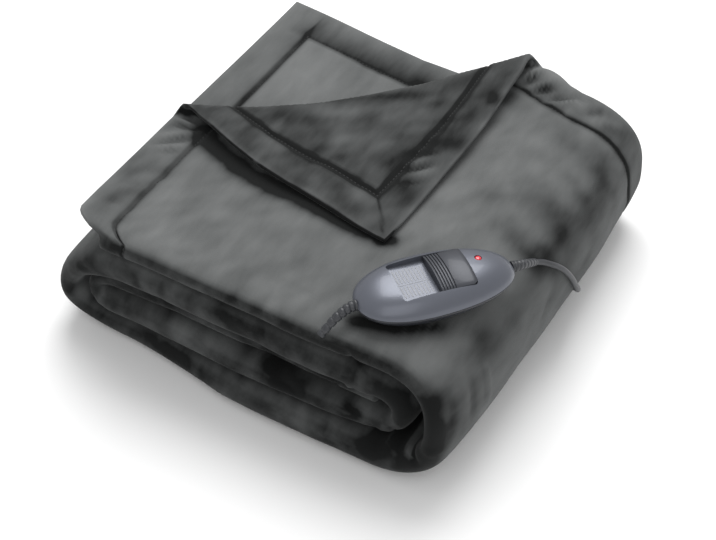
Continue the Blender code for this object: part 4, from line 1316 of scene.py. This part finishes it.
PATCH_ROWS: tuple[tuple[Face, tuple[tuple[float, ...], ...]], ...] = (
    (Face.SIDE, (
        (146.4, 99.4, 115.6, 26.0, 13.0, -15.0, -0.30), (165.6, 97.9, 100.9, 10.0, 26.0, 5.0, -0.24),
        (154.0, 34.3, 112.8, 34.0, 13.0, -25.0, -0.30), (173.1, 58.7, 90.0, 9.0, 26.0, 10.0, -0.32),
        (148.3, -14.8, 116.1, 26.0, 12.0, -15.0, -0.34), (167.1, -5.0, 102.2, 16.0, 9.0, 0.0, -0.38),
    )),
    (Face.TOP, (
        (124.5, 13.6, 121.6, 30.0, 16.0, -25.0, -0.14),
    )),
    (Face.SIDE, (
        (164.9, 19.6, 104.3, 20.0, 10.0, -20.0, -0.26), (158.4, -20.2, 105.7, 14.0, 9.0, 0.0, -0.30),
        (153.3, 114.7, 111.5, 10.0, 8.0, 0.0, -0.18), (149.7, 15.2, 111.0, 22.0, 9.0, -25.0, -0.24),
        (153.8, 67.0, 112.4, 18.0, 8.0, -20.0, -0.20),
    )),
    (Face.TOP, (
        (-133.9, -128.6, 122.0, 20.0, 7.0, 50.0, -0.16), (-133.9, -96.9, 122.0, 16.0, 7.0, 50.0, -0.14),
        (-136.8, -30.7, 122.0, 16.0, 13.0, 0.0, -0.28), (-117.7, -36.4, 122.0, 10.0, 9.0, 0.0, -0.60),
        (122.0, -149.1, 121.6, 50.0, 9.0, -22.0, 0.10), (71.8, -147.5, 122.0, 20.0, 8.0, 0.0, 0.05),
    )),
    (Face.SIDE, (
        (159.5, -98.1, 104.7, 26.0, 12.0, -20.0, -0.10), (167.8, -159.5, 93.8, 16.0, 30.0, 0.0, -0.10),
        (146.9, -158.4, 108.1, 26.0, 9.0, -25.0, -0.06), (165.7, -168.7, 69.8, 12.0, 22.0, 0.0, -0.12),
        (176.4, -141.3, 59.6, 10.0, 26.0, 0.0, -0.08), (163.0, -175.7, 47.6, 14.0, 10.0, 0.0, -0.16),
        (170.0, -86.0, 98.7, 12.0, 34.0, -10.0, -0.14), (175.5, -47.6, 87.6, 12.0, 30.0, -10.0, -0.12),
        (177.8, -8.7, 76.2, 6.0, 26.0, 0.0, 0.12), (178.7, -67.2, 70.5, 6.0, 26.0, 0.0, 0.12),
        (178.2, -113.4, 59.5, 6.0, 26.0, 0.0, 0.12),
    )),
    (Face.TOP, (
        (-126.5, 118.3, 116.8, 10.0, 8.0, 0.0, -0.30), (-123.6, 63.3, 116.8, 24.0, 7.0, 95.0, -0.08),
        (-47.2, 107.2, 116.5, 34.0, 7.0, 4.0, -0.12), (-81.3, 1.1, 133.0, 20.0, 8.0, 25.0, -0.10),
        (-55.6, 4.4, 132.6, 16.0, 9.0, 25.0, -0.14), (-37.1, 26.4, 132.7, 20.0, 8.0, 25.0, 0.20),
        (-17.5, 44.6, 133.1, 16.0, 8.0, 25.0, 0.12), (20.2, 76.6, 134.4, 16.0, 8.0, 25.0, -0.08),
        (-40.6, 46.8, 131.8, 60.0, 5.0, 33.0, -0.20), (20.0, 37.1, 132.4, 16.0, 10.0, 20.0, 0.06),
        (-4.0, 9.8, 131.6, 26.0, 10.0, 12.0, 0.10), (49.8, 64.4, 133.5, 9.0, 34.0, -8.0, -0.20),
        (46.9, -17.8, 128.5, 16.0, 10.0, 0.0, -0.16), (8.0, -33.3, 129.3, 24.0, 6.0, -28.0, 0.10),
        (-64.2, -26.6, 132.1, 16.0, 9.0, -30.0, 0.10), (-32.8, -33.0, 127.0, 14.0, 8.0, 0.0, -0.12),
        (-8.9, -39.8, 125.8, 14.0, 7.0, -20.0, -0.10), (24.2, -54.3, 127.8, 16.0, 7.0, -20.0, -0.08),
        (-6.2, -17.0, 130.5, 30.0, 10.0, 0.0, -0.10), (29.0, -1.4, 130.0, 16.0, 10.0, 0.0, -0.12),
        (53.4, 9.5, 125.9, 12.0, 12.0, 0.0, 0.10), (54.5, 104.2, 136.5, 9.0, 20.0, -8.0, -0.05),
        (67.7, 124.2, 122.0, 10.3, 8.0, 83.5, -0.55), (67.3, 101.7, 132.5, 8.0, 8.0, 0.0, -0.40),
        (85.0, 153.7, 122.0, 22.0, 10.0, -15.0, -0.18),
    )),
    (Face.SIDE, (
        (136.4, 149.4, 118.3, 18.0, 7.0, -30.0, -0.10),
    )),
    (Face.FRONT, (
        (-100.6, -159.8, 58.6, 26.0, 8.0, 0.0, -0.20), (-51.7, -164.5, 45.5, 18.0, 8.0, 0.0, 0.30),
        (-17.9, -161.5, 43.8, 20.0, 8.0, 0.0, 0.16), (30.5, -159.6, 45.2, 14.0, 10.0, 0.0, -0.25),
        (94.8, -158.6, 56.3, 12.0, 12.0, 0.0, 0.16), (123.4, -172.8, 81.9, 8.0, 10.0, 0.0, -0.12),
        (133.2, -164.9, 76.7, 9.0, 12.0, 0.0, -0.50), (141.2, -159.3, 58.2, 6.0, 14.0, 0.0, -0.55),
        (-163.9, -157.4, 25.1, 9.0, 10.0, 0.0, 0.42), (-167.1, -168.7, 42.5, 6.0, 12.0, 0.0, -0.20),
        (-126.9, -172.2, 79.8, 20.0, 5.0, 0.0, -0.30), (14.0, -170.9, 20.2, 26.0, 7.0, 0.0, 0.12),
        (59.6, -172.7, 19.8, 24.0, 7.0, 0.0, 0.24), (-62.4, -165.7, 20.4, 26.0, 6.0, 0.0, -0.08),
        (87.5, -176.4, 23.5, 20.0, 7.0, 0.0, 0.06), (118.3, -169.7, 24.2, 18.0, 8.0, 0.0, -0.10),
        (61.4, -172.8, 88.2, 24.0, 9.0, 0.0, -0.08), (-121.1, -164.0, 11.0, 20.0, 6.0, 0.0, 0.05),
        (-82.6, -165.9, 98.9, 26.0, 7.0, 0.0, 0.06), (8.5, -170.2, 93.9, 30.0, 8.0, 0.0, -0.05),
        (93.7, -170.3, 92.3, 16.0, 8.0, 0.0, 0.05), (135.5, -162.8, 32.5, 12.0, 8.0, 0.0, -0.35),
        (157.6, -174.3, 59.9, 8.0, 12.0, 0.0, -0.30), (111.0, -172.3, 28.1, 8.0, 8.0, 0.0, -0.25),
    )),
    # Painted shadow: the dark wedge under the turned-back corner's left edge, then the contact shadow under
    # the controller's lower side.
    (Face.TOP, (
        (-94.2, -47.9, 122.0, 27.3, 10.0, -16.1, -1.10), (-39.1, -59.5, 122.0, 36.5, 10.0, -7.1, -1.10),
        (24.0, -68.0, 122.0, 33.2, 8.0, -2.5, -1.10), (63.0, -66.3, 122.0, 9.0, 6.0, 31.2, -0.90),
        (98.6, -147.2, 122.0, 20.4, 7.0, 12.4, -0.80), (129.5, -132.8, 122.0, 19.6, 7.0, 38.3, -0.85),
        (152.6, -105.6, 122.0, 21.7, 7.0, 58.6, -0.75), (164.9, -77.1, 122.0, 16.0, 4.0, 73.7, -0.40),
    )),
)
PATCHES = tuple(
    PileAndShadePatch(row[:3], long=row[3], wide=row[4], turn=row[5], shade=row[6], face=face)
    for face, rows in PATCH_ROWS for row in rows
)
PATCH_DEPTH: dict[Face, float] = {Face.TOP: 6.0, Face.FRONT: 12.0, Face.SIDE: 25.0}


@dataclass(frozen=True)
class PileAndShade:
    """How light the pile is drawn, from 0 to 1: painted light and shade by where it faces and by what it lies
    beside, with the pile's own clouds and specks.
    """

    # top, front, right, left and back: painted light and shade for faces looking each way, lightest on top
    # and darkest at the front.
    top: float = 0.72
    front: float = 0.10
    right: float = 0.50
    left: float = 0.26
    under: float = 0.17
    back: float = 0.34
    clouds: float = 0.12
    specks: float = 0.12
    # seam and mitre: partly the stitched line's own darkness, partly painted shade in its groove and along
    # the mitre.
    seam: float = -0.50
    mitre: float = -0.22
    border: float = -0.13
    # crease: painted shade in crease troughs and painted highlight on crease ridges.
    crease: float = 0.10
    # hem: painted highlight, a lit rim along every hem.
    hem: float = 0.12
    # Painted shade between laps: where lower laps lie pressed against the next one and where the top lap
    # looks down.
    crevice_shade: float = -0.24
    darkest: float = -0.30
    level_from: float = 0.62
    level_over: float = 0.36
    back_gain: float = 1.2
    front_gain: float = 1.3
    tucked_from: float = -0.35
    tucked_over: float = 0.5
    tucked_loss: float = 0.3
    lower_laps_from: float = -20.0
    under_from: float = -30.0
    under_share: float = 0.12
    cloud_size: float = 38.0
    speck_size: float = 12.0
    under_seam: float = 1.5
    seam_spread: float = 0.3
    hem_wide: float = 3.0


@dataclass(frozen=True)
class BlanketCloth:
    """The plush sheet: its folds, seams, creases, brushed pile with painted shade and painted highlight, and
    stitches.
    """

    rules: FoldRules = field(default_factory=FoldRules)
    pile: PileAndShade = field(default_factory=PileAndShade)
    border: float = 33.0
    seam_deep: float = 1.3
    seam_wide: float = 1.8
    border_puff: float = 0.55
    puff_power: float = 0.7
    mitre_wide: float = 1.6
    mitre_from: float = 3.0
    mitre_deep: float = 0.6
    pucker: float = 0.90
    pucker_sizes: tuple[float, float] = (8.5, 17.0)
    pucker_fine: float = 0.6
    pucker_at_hem: float = 0.35
    pucker_more: float = 0.65
    pucker_fade: float = 7.0
    pucker_reach: float = 25.0
    side_shift: float = 900.0
    second_layer: float = 0.5
    rise_over: float = 20.0
    crease_aside: float = 0.3
    least_apart: float = 0.7
    rim_rows: tuple[tuple[float, float], ...] = ((0.36, 0.72), (0.0, 1.0), (-0.36, 0.72))
    flap_from: float = 125.0
    layer_cuts: tuple[int, ...] = (104, 14, 6, 4, 5, 4, 8)
    strip_cuts: tuple[int, ...] = (94, 36, 30, 28, 42, 14, 30, 6, 8)
    near_lines: tuple[float, ...] = (1.2, 3.0, 30.8, 33.0, 35.2)
    creases: tuple[Crease, ...] = CREASES
    patches: tuple[PileAndShadePatch, ...] = PATCHES

    def lines(self, lengths: Sequence[float], cuts: Sequence[int]) -> Array:
        """Where the sheet is cut in one direction, with lines at its hems and seams."""
        found, start = [], 0.0
        for length, count in zip(lengths, cuts, strict=True):
            found += [start + length * k / count for k in range(count)]
            start += length
        found.append(start)
        for near in self.near_lines:
            found += [near, start - near]
        kept = []
        for value in sorted(found):
            if not kept or value - kept[-1] > self.least_apart:
                kept.append(value)
        kept[-1] = start
        return np.array(kept)

    def hem_distance(self, u: Array, v: Array) -> Array:
        """Distance of flat points from the nearest hem."""
        wide, long = sum(self.rules.layer_lengths()), sum(self.rules.strip_lengths())
        return np.minimum(np.minimum(u, wide - u), np.minimum(v, long - v))

    def seam(self, u: Array, v: Array) -> Array:
        """Nearness of flat points to the stitched line, from 0 to 1."""
        return np.exp(-(((self.hem_distance(u, v) - self.border) / self.seam_wide) ** 2))

    def mitre(self, u: Array, v: Array) -> Array:
        """Nearness of flat points to the slanting joint of the border at the sheet's corners."""
        wide, long = sum(self.rules.layer_lengths()), sum(self.rules.strip_lengths())
        near = self.hem_distance(u, v)
        aslant = np.abs(np.minimum(u, wide - u) - np.minimum(v, long - v))
        return np.exp(-((aslant / self.mitre_wide) ** 2)) * (near < self.border) * (near > self.mitre_from)

    def puckers(self, u: Array, v: Array) -> Array:
        """Small uneven gathers that run across the border, strongest at the stitched line."""
        wide, long = sum(self.rules.layer_lengths()), sum(self.rules.strip_lengths())
        near_u, near_v = np.minimum(u, wide - u), np.minimum(v, long - v)
        near = np.minimum(near_u, near_v)
        beside = np.where(near_u < near_v, v + 0.0 * u, u + self.side_shift + 0.0 * v)
        small, large = self.pucker_sizes
        gathers = GATHER_NOISE.at(beside, near * 0.22, 0.0 * near, small)
        gathers = gathers + self.pucker_fine * FINE_GATHER_NOISE.at(beside, near * 0.4, near, large)
        inside = self.pucker_at_hem + self.pucker_more * near / self.border
        reach = np.where(near < self.border, inside, np.exp(-(near - self.border) / self.pucker_fade))
        return gathers * reach * (near < self.border + self.pucker_reach)

    def seam_relief(self, u: Array, v: Array) -> Array:
        """How far each face is drawn in at the seams and stands out between seam and hem."""
        near = self.hem_distance(u, v)
        puff = np.sin(np.clip(near / self.border, 0.0, 1.0) * math.pi) ** self.puff_power
        stands_out = self.border_puff * puff * (near < self.border)
        return stands_out - self.seam_deep * self.seam(u, v) - self.mitre_deep * self.mitre(u, v)

    def crease_relief(self, points: Array) -> Array:
        """Rise of the listed creases at folded points."""
        total = np.zeros(points.shape[:-1])
        for crease in self.creases:
            weight = np.ones(3)
            weight[crease.face.value] = self.crease_aside
            start, end = np.asarray(crease.start) * weight, np.asarray(crease.end) * weight
            way = end - start
            spots = points * weight
            share = np.clip((spots - start) @ way / (way @ way), 0.0, 1.0)
            off = np.linalg.norm(spots - (start + share[..., None] * way), axis=-1)
            taper = np.sin(np.clip(share, 0.06, 0.94) * math.pi) ** 0.5
            total += crease.rise * taper * np.exp(-((off / crease.wide) ** 2))
        return total

    def ripples(self, points: Array) -> Array:
        """Low uneven waves of the cloth, in millimetres of rise."""
        x, y, z = points[..., 0], points[..., 1], points[..., 2]
        broad = BROAD_NOISE.at(x, y, z * 0.6, 75.0)
        small = SMALL_NOISE.at(x * 0.8 + 0.5 * y, y * 0.8 - 0.5 * x, z, 26.0)
        return 1.1 * broad + 0.5 * small

    def drape(self, points: Array) -> Array:
        """Moves folded points a little, all layers together, so that edges and turns aren't ruled lines."""
        x, y, z = points[..., 0], points[..., 1], points[..., 2]
        up = np.clip(z / 30.0, 0.0, 1.0)
        dx = DRAPE_NOISE.at(y, z * 0.5, x * 0.3, 70.0) * 2.2 * up
        dy = DRAPE_NOISE.at(x + 300.0, z * 0.7, y * 0.3, 60.0) * 2.0 * up
        dz = DRAPE_NOISE.at(x, y, z * 0.4 + 200.0, 85.0) * 1.4 * up
        return points + np.stack([dx, dy, dz], axis=-1)

    def pile_and_shade(self, folded: Array, points: Array, past: Array, side: Side, u: Array, v: Array) -> Array:
        """How light the pile is drawn at the points of one face: its own mottling, with painted shade by
        facing, between laps, in creases, along seams and in listed patches, and a painted highlight along the
        hems.

        Args:
            folded: Places on the plain folds, shape (n, m, 3).
            points: The finished places, shape (n, m, 3).
            past: How far each lies past the corner's crease.
            side: Which face.
            u: Flat places across, shape (n, 1).
            v: Flat places along, shape (1, m).

        Returns:
            One value for each point, from the pile's darkest to 1.
        """
        pile = self.pile
        x, y, z = folded[..., 0], folded[..., 1], folded[..., 2]
        normal = np.cross(np.gradient(points, axis=0), np.gradient(points, axis=1)) * side.value
        normal = normal / np.maximum(np.linalg.norm(normal, axis=-1, keepdims=True), 1e-9)
        # Painted light and shade by facing: faces looking up are drawn light, faces looking to the front
        # darkest, the sides and back in between.
        aside = np.where(normal[..., 0] > 0.0, pile.right, pile.left)
        level = lerp(aside, pile.back, ease(pile.back_gain * normal[..., 1]))
        level = lerp(level, pile.front, ease(-pile.front_gain * normal[..., 1]))
        shade = lerp(level, pile.top, ease((normal[..., 2] - pile.level_from) / pile.level_over))
        # Painted shade between laps: faces of the lower laps pressed flat against the next lap, and faces of
        # the top lap that look down, are drawn darker.
        lower = v > sum(self.rules.strip_lengths()[:2]) + pile.lower_laps_from
        between = ease((np.abs(normal[..., 2]) - pile.level_from) / pile.level_over)
        tucked_shade = np.where(lower, between, ease((pile.tucked_from - normal[..., 2]) / pile.tucked_over))
        shade = shade * np.where(lower, 1.0 - pile.tucked_loss * tucked_shade, 1.0) + pile.crevice_shade * tucked_shade
        if side is Side.UNDER:
            shade = np.where(past > pile.under_from, lerp(pile.under, shade, pile.under_share), shade)
        near = self.hem_distance(u, v)
        shade = shade + pile.border * (near < self.border) * (past < 0.0)
        shade = shade + pile.clouds * CLOUD_NOISE.at(x, y, z, pile.cloud_size)
        shade = shade + pile.specks * SPECK_NOISE.at(x * 1.3 - y * 0.6, y * 0.8, z, pile.speck_size)
        turned = (past > 0.0) & (side is Side.UNDER)
        # Listed patches: the pile's own mottling, with painted shade and painted shadow where the turned-back
        # corner, the controller and the folds shade the cloth.
        for patch in self.patches:
            turn = math.radians(patch.turn)
            offset = folded - np.asarray(patch.at)
            first, second, third = (0, 2, 1) if patch.face is Face.FRONT else (0, 1, 2)
            a = (offset[..., first] * math.cos(turn) + offset[..., second] * math.sin(turn)) / patch.long
            b = (-offset[..., first] * math.sin(turn) + offset[..., second] * math.cos(turn)) / patch.wide
            c = offset[..., third] / PATCH_DEPTH[patch.face]
            own = turned if patch.at[2] > self.flap_from else ~turned
            shade = shade + patch.shade * np.exp(-(a * a) ** 2 - b * b - c * c) * own
        # Painted shade in the seam's groove and along the mitre, stronger on the under side, over the
        # stitched line's own darkness.
        depth = pile.seam * (1.0 if side is Side.OUTER else pile.under_seam)
        shade = shade + depth * self.seam(u, v) ** pile.seam_spread + pile.mitre * self.mitre(u, v)
        # Painted highlight: a lit rim along every hem.
        shade = shade + pile.hem * np.exp(-((near / pile.hem_wide) ** 2))
        # Painted shade in crease troughs and painted highlight on crease ridges, then the clip.
        return np.clip(shade + pile.crease * self.crease_relief(folded), pile.darkest, 1.0)

    def face(self, u: Array, v: Array, side: Side) -> tuple[Array, Array, Array]:
        """The places of one face of the cloth, folded.

        Args:
            u: Distances across the sheet.
            v: Distances along it.
            side: Which face.

        Returns:
            Places on the plain folds (n, m, 3), finished places, and how far each lies past the crease.
        """
        grid_u, grid_v = u[:, None], v[None, :]
        share = np.full((len(u), len(v)), side.value)
        folded, past = self.rules.fold(grid_u, grid_v, share, np.zeros_like(share))
        out = 1.0 if side is Side.OUTER else -1.0
        rise = out * self.seam_relief(grid_u, grid_v)
        shown = (grid_u <= sum(self.rules.layer_lengths()[:2])) * 1.0
        second = (grid_u > sum(self.rules.layer_lengths()[:6])) * 1.0
        above = np.clip(folded[..., 2] / self.rise_over, 0.0, 1.0)
        # The turned-back corner shows its under side, so a ridge there rises the other way in the flat sheet.
        flipped = np.where(past > 0.0, -1.0, 1.0)
        gathered = np.clip(shown + self.second_layer * second, 0.0, 1.0)
        gathers = self.pucker * self.puckers(grid_u, grid_v) * gathered * above
        waves = self.ripples(folded) * shown * above + self.crease_relief(folded) * shown
        rise = rise + waves * flipped + gathers
        points, _ = self.rules.fold(grid_u, grid_v, share, rise)
        return folded, self.drape(points), past

    def surface(self, u: Array, v: Array, side: Side) -> tuple[Array, Array]:
        """One face of the cloth: its places and its pile lightness, painted shade and painted highlight
        included.
        """
        folded, points, past = self.face(u, v, side)
        return points, self.pile_and_shade(folded, points, past, side, u[:, None], v[None, :])

    def rim_row(self, u: Array, v: Array, off_u: Array, off_v: Array, share: float) -> Array:
        """Points of the rounded hem edge, one for each flat place.

        Args:
            u: Distances across the sheet, one for each point.
            v: Distances along it.
            off_u: How far each point stands past the edge across.
            off_v: The same along.
            share: Share of the thickness.

        Returns:
            Points (n, 3).
        """
        rows = []
        for a, b, c, d in zip(u, v, off_u, off_v, strict=True):
            point, _ = self.rules.fold(
                np.array([[a + c]]), np.array([[b + d]]), np.array([[share]]), np.array([[0.0]])
            )
            rows.append(point[0, 0])
        return self.drape(np.array(rows))

    def build(self, plush: bpy.types.Material) -> bpy.types.Object:
        """Args:
            plush: Its material.

        Returns:
            The cloth.
        """
        us = self.lines(self.rules.layer_lengths(), self.layer_cuts)
        vs = self.lines(self.rules.strip_lengths(), self.strip_cuts)
        n, m = len(us), len(vs)
        outer, outer_pile_shade = self.surface(us, vs, Side.OUTER)
        under, under_pile_shade = self.surface(us, vs, Side.UNDER)
        number = np.arange(n * m).reshape(n, m)
        faces = []
        a, b, c, d = number[:-1, :-1], number[1:, :-1], number[1:, 1:], number[:-1, 1:]
        faces += np.stack([a, b, c, d], axis=-1).reshape(-1, 4).tolist()
        faces += (np.stack([a, d, c, b], axis=-1).reshape(-1, 4) + n * m).tolist()
        ring = [(0, j) for j in range(m - 1)] + [(i, m - 1) for i in range(n - 1)]
        ring += [(n - 1, j) for j in range(m - 1, 0, -1)] + [(i, 0) for i in range(n - 1, 0, -1)]
        rows = np.array(ring)
        proud = self.rules.rim * self.rules.thick
        out_u = proud * ((rows[:, 0] == n - 1) * 1.0 - (rows[:, 0] == 0) * 1.0)
        out_v = proud * ((rows[:, 1] == m - 1) * 1.0 - (rows[:, 1] == 0) * 1.0)
        rims = []
        for share, reach in self.rim_rows:
            rims.append(self.rim_row(us[rows[:, 0]], vs[rows[:, 1]], out_u * reach, out_v * reach, share))
        count = len(ring)
        first = 2 * n * m
        bands = [number[rows[:, 0], rows[:, 1]]]
        bands += [np.arange(first + k * count, first + (k + 1) * count) for k in range(len(rims))]
        bands.append(number[rows[:, 0], rows[:, 1]] + n * m)
        for near, far in zip(bands, bands[1:]):
            faces += np.stack([near, np.roll(near, -1), np.roll(far, -1), far], axis=-1).tolist()
        points = np.concatenate([outer.reshape(-1, 3), under.reshape(-1, 3), *rims])
        points[:, 2] = np.maximum(points[:, 2], 0.0)
        cloth = mesh_object("blanket_cloth", points, faces)
        outward(cloth)
        rim_pile_shade = outer_pile_shade[rows[:, 0], rows[:, 1]]
        pile_shades = np.concatenate([outer_pile_shade.ravel(), under_pile_shade.ravel(), *([rim_pile_shade] * len(rims))])
        # The attribute holds painted shade and painted highlight together with the pile's own tone.
        cloth.data.attributes.new("pile_and_shade", "FLOAT", "POINT").data.foreach_set("value", pile_shades.astype(np.float32))
        finish_piece(cloth, STACK, plush)
        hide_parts("blanket")
        flat = (sum(self.rules.layer_lengths()) * MM, sum(self.rules.strip_lengths()) * MM)
        log.info("cloth %.3f x %.3f m, %d faces", *flat, len(faces))
        return cloth


@dataclass(frozen=True)
class Run:
    """One visible stretch of the stitched line: which face, which sheet line, and the layers it crosses."""

    side: Side
    across: bool
    far: bool
    layers: tuple[int, int]
    turned: bool


@dataclass(frozen=True)
class Stitches:
    """The even machine stitches that lie in the seam's groove."""

    cloth: BlanketCloth
    pitch: float = 3.6
    long: float = 2.5
    thread: float = 0.42
    sides: int = 6
    rings: int = 5
    seed: int = 7
    step: float = 1.8
    spread: tuple[float, float] = (0.88, 1.08)
    turned_from: float = 10.0
    beneath_from: float = -10.0
    flat_to: float = -12.0
    runs: tuple[Run, ...] = (
        Run(Side.OUTER, False, False, (0, 2), False), Run(Side.OUTER, True, False, (0, 2), False),
        Run(Side.UNDER, False, False, (0, 2), True), Run(Side.UNDER, True, False, (0, 1), True),
        Run(Side.UNDER, False, True, (0, 1), True), Run(Side.UNDER, True, False, (6, 7), True),
    )

    def places(self, run: Run) -> tuple[Array, Array]:
        """The stitched line's places along a run, and which of them show.

        Args:
            run: The stretch.

        Returns:
            Points (n, 3) in millimetres and a mask of n.
        """
        rules, border = self.cloth.rules, self.cloth.border
        wide = sum(rules.layer_lengths())
        if run.across:
            low, high = (sum(rules.layer_lengths()[:layer]) for layer in run.layers)
            u = np.arange(max(low, border), min(high, wide - border), self.step)
            v = np.array([border])
        else:
            u = np.array([wide - border if run.far else border])
            v = np.arange(border, sum(rules.strip_lengths()[:run.layers[1]]), self.step)
        folded, points, _ = self.cloth.face(u, v, run.side)
        middle = np.zeros((len(u), len(v)))
        past_top = rules.fold(u[:, None], v[None, :], middle, middle)[1].ravel()
        top_layer = not run.far and run.layers[0] == 0
        if run.turned and top_layer:
            shown = past_top > self.turned_from
        elif run.turned:
            shown = rules.past_crease(folded[..., 0], folded[..., 1]).ravel() > self.beneath_from
        else:
            shown = past_top < self.flat_to
        return points.reshape(-1, 3), shown

    def tree(self) -> bpy.types.NodeTree:
        """Node tree that lays a small capsule at even distances along every line of its input mesh."""
        group = bpy.data.node_groups.new("seam_stitches", "GeometryNodeTree")
        group.interface.new_socket("Geometry", in_out="INPUT", socket_type="NodeSocketGeometry")
        for name in ("Pitch", "Stitch Length", "Thread Radius"):
            group.interface.new_socket(name, in_out="INPUT", socket_type="NodeSocketFloat")
        group.interface.new_socket("Seed", in_out="INPUT", socket_type="NodeSocketInt")
        group.interface.new_socket("Material", in_out="INPUT", socket_type="NodeSocketMaterial")
        group.interface.new_socket("Geometry", in_out="OUTPUT", socket_type="NodeSocketGeometry")
        links = Links(group)
        entry, end = links.add("NodeGroupInput"), links.add("NodeGroupOutput")
        curve = links.add("GeometryNodeMeshToCurve")
        even = links.add("GeometryNodeResampleCurve", mode="LENGTH")
        spots = links.add("GeometryNodeCurveToPoints", mode="EVALUATED")
        ball = links.add(
            "GeometryNodeMeshUVSphere", in_Segments=self.sides, in_Rings=self.rings, in_Radius=1.0
        )
        size = links.add("ShaderNodeCombineXYZ")
        half = links.add("ShaderNodeMath", operation="MULTIPLY")
        half.inputs[1].default_value = 0.5
        shape = links.add("GeometryNodeTransform")
        uneven = links.add("FunctionNodeRandomValue", data_type="FLOAT")
        uneven.inputs[2].default_value, uneven.inputs[3].default_value = self.spread
        laid = links.add("GeometryNodeInstanceOnPoints")
        real = links.add("GeometryNodeRealizeInstances")
        painted = links.add("GeometryNodeSetMaterial")
        for source, output, target, socket in (
            (entry, "Geometry", curve, "Mesh"), (curve, "Curve", even, "Curve"),
            (entry, "Pitch", even, "Length"), (even, "Curve", spots, "Curve"),
            (entry, "Thread Radius", size, "X"), (entry, "Thread Radius", size, "Y"),
            (entry, "Stitch Length", half, 0), (half, 0, size, "Z"),
            (ball, "Mesh", shape, "Geometry"), (size, "Vector", shape, "Scale"),
            (spots, "Points", laid, "Points"), (shape, "Geometry", laid, "Instance"),
            (spots, "Rotation", laid, "Rotation"), (entry, "Seed", uneven, "Seed"),
            (uneven, 1, laid, "Scale"), (laid, "Instances", real, "Geometry"),
            (real, "Geometry", painted, "Geometry"), (entry, "Material", painted, "Material"),
            (painted, "Geometry", end, "Geometry"),
        ):
            links.join(source.outputs[output], target.inputs[socket])
        return group

    def build(self, thread: bpy.types.Material) -> None:
        """Adds the stitches as one plain mesh.

        Args:
            thread: Material of the thread.
        """
        points: list[list[float]] = []
        edges: list[tuple[int, int]] = []
        for run in self.runs:
            line, shown = self.places(run)
            for k, place in enumerate(line):
                if shown[k] and k and shown[k - 1]:
                    edges.append((len(points) - 1, len(points)))
                if shown[k]:
                    points.append((place * MM).tolist())
        mesh = bpy.data.meshes.new("stitch_lines")
        mesh.from_pydata(points, edges, [])
        made = bpy.data.objects.new("seam_stitches", mesh)
        bpy.context.scene.collection.objects.link(made)
        group = self.tree()
        layer = made.modifiers.new("stitches", "NODES")
        layer.node_group = group
        values = {
            "Pitch": self.pitch * MM, "Stitch Length": self.long * MM, "Thread Radius": self.thread * MM,
            "Seed": self.seed, "Material": thread,
        }
        for item in group.interface.items_tree:
            if item.in_out == "INPUT" and item.name in values:
                layer[item.identifier] = values[item.name]
        graph = bpy.context.evaluated_depsgraph_get()
        plain = bpy.data.meshes.new_from_object(made.evaluated_get(graph))
        made.modifiers.clear()
        made.data = plain
        bpy.data.meshes.remove(mesh)
        log.info("stitches: %d", len(plain.polygons) // (self.sides * self.rings))
        finish_piece(made, STACK, thread)


def main() -> None:
    """Builds camera, studio, leads, controller and cloth in order."""
    logging.basicConfig(level=logging.INFO, format="%(message)s")
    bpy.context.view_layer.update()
    PhotoCamera().build()
    Studio().build()
    rubber = RUBBER_FINISH.build("cord_rubber")
    plug = MainsPlug().build(rubber, METAL_FINISH.build("pin_metal"))
    MainsLead().build(rubber, plug)
    Controller().build(rubber)
    cloth = BlanketCloth()
    cloth.build(PlushFinish().build("plush"))
    Stitches(cloth).build(THREAD_FINISH.build("seam_thread"))


if __name__ == "__main__":
    main()
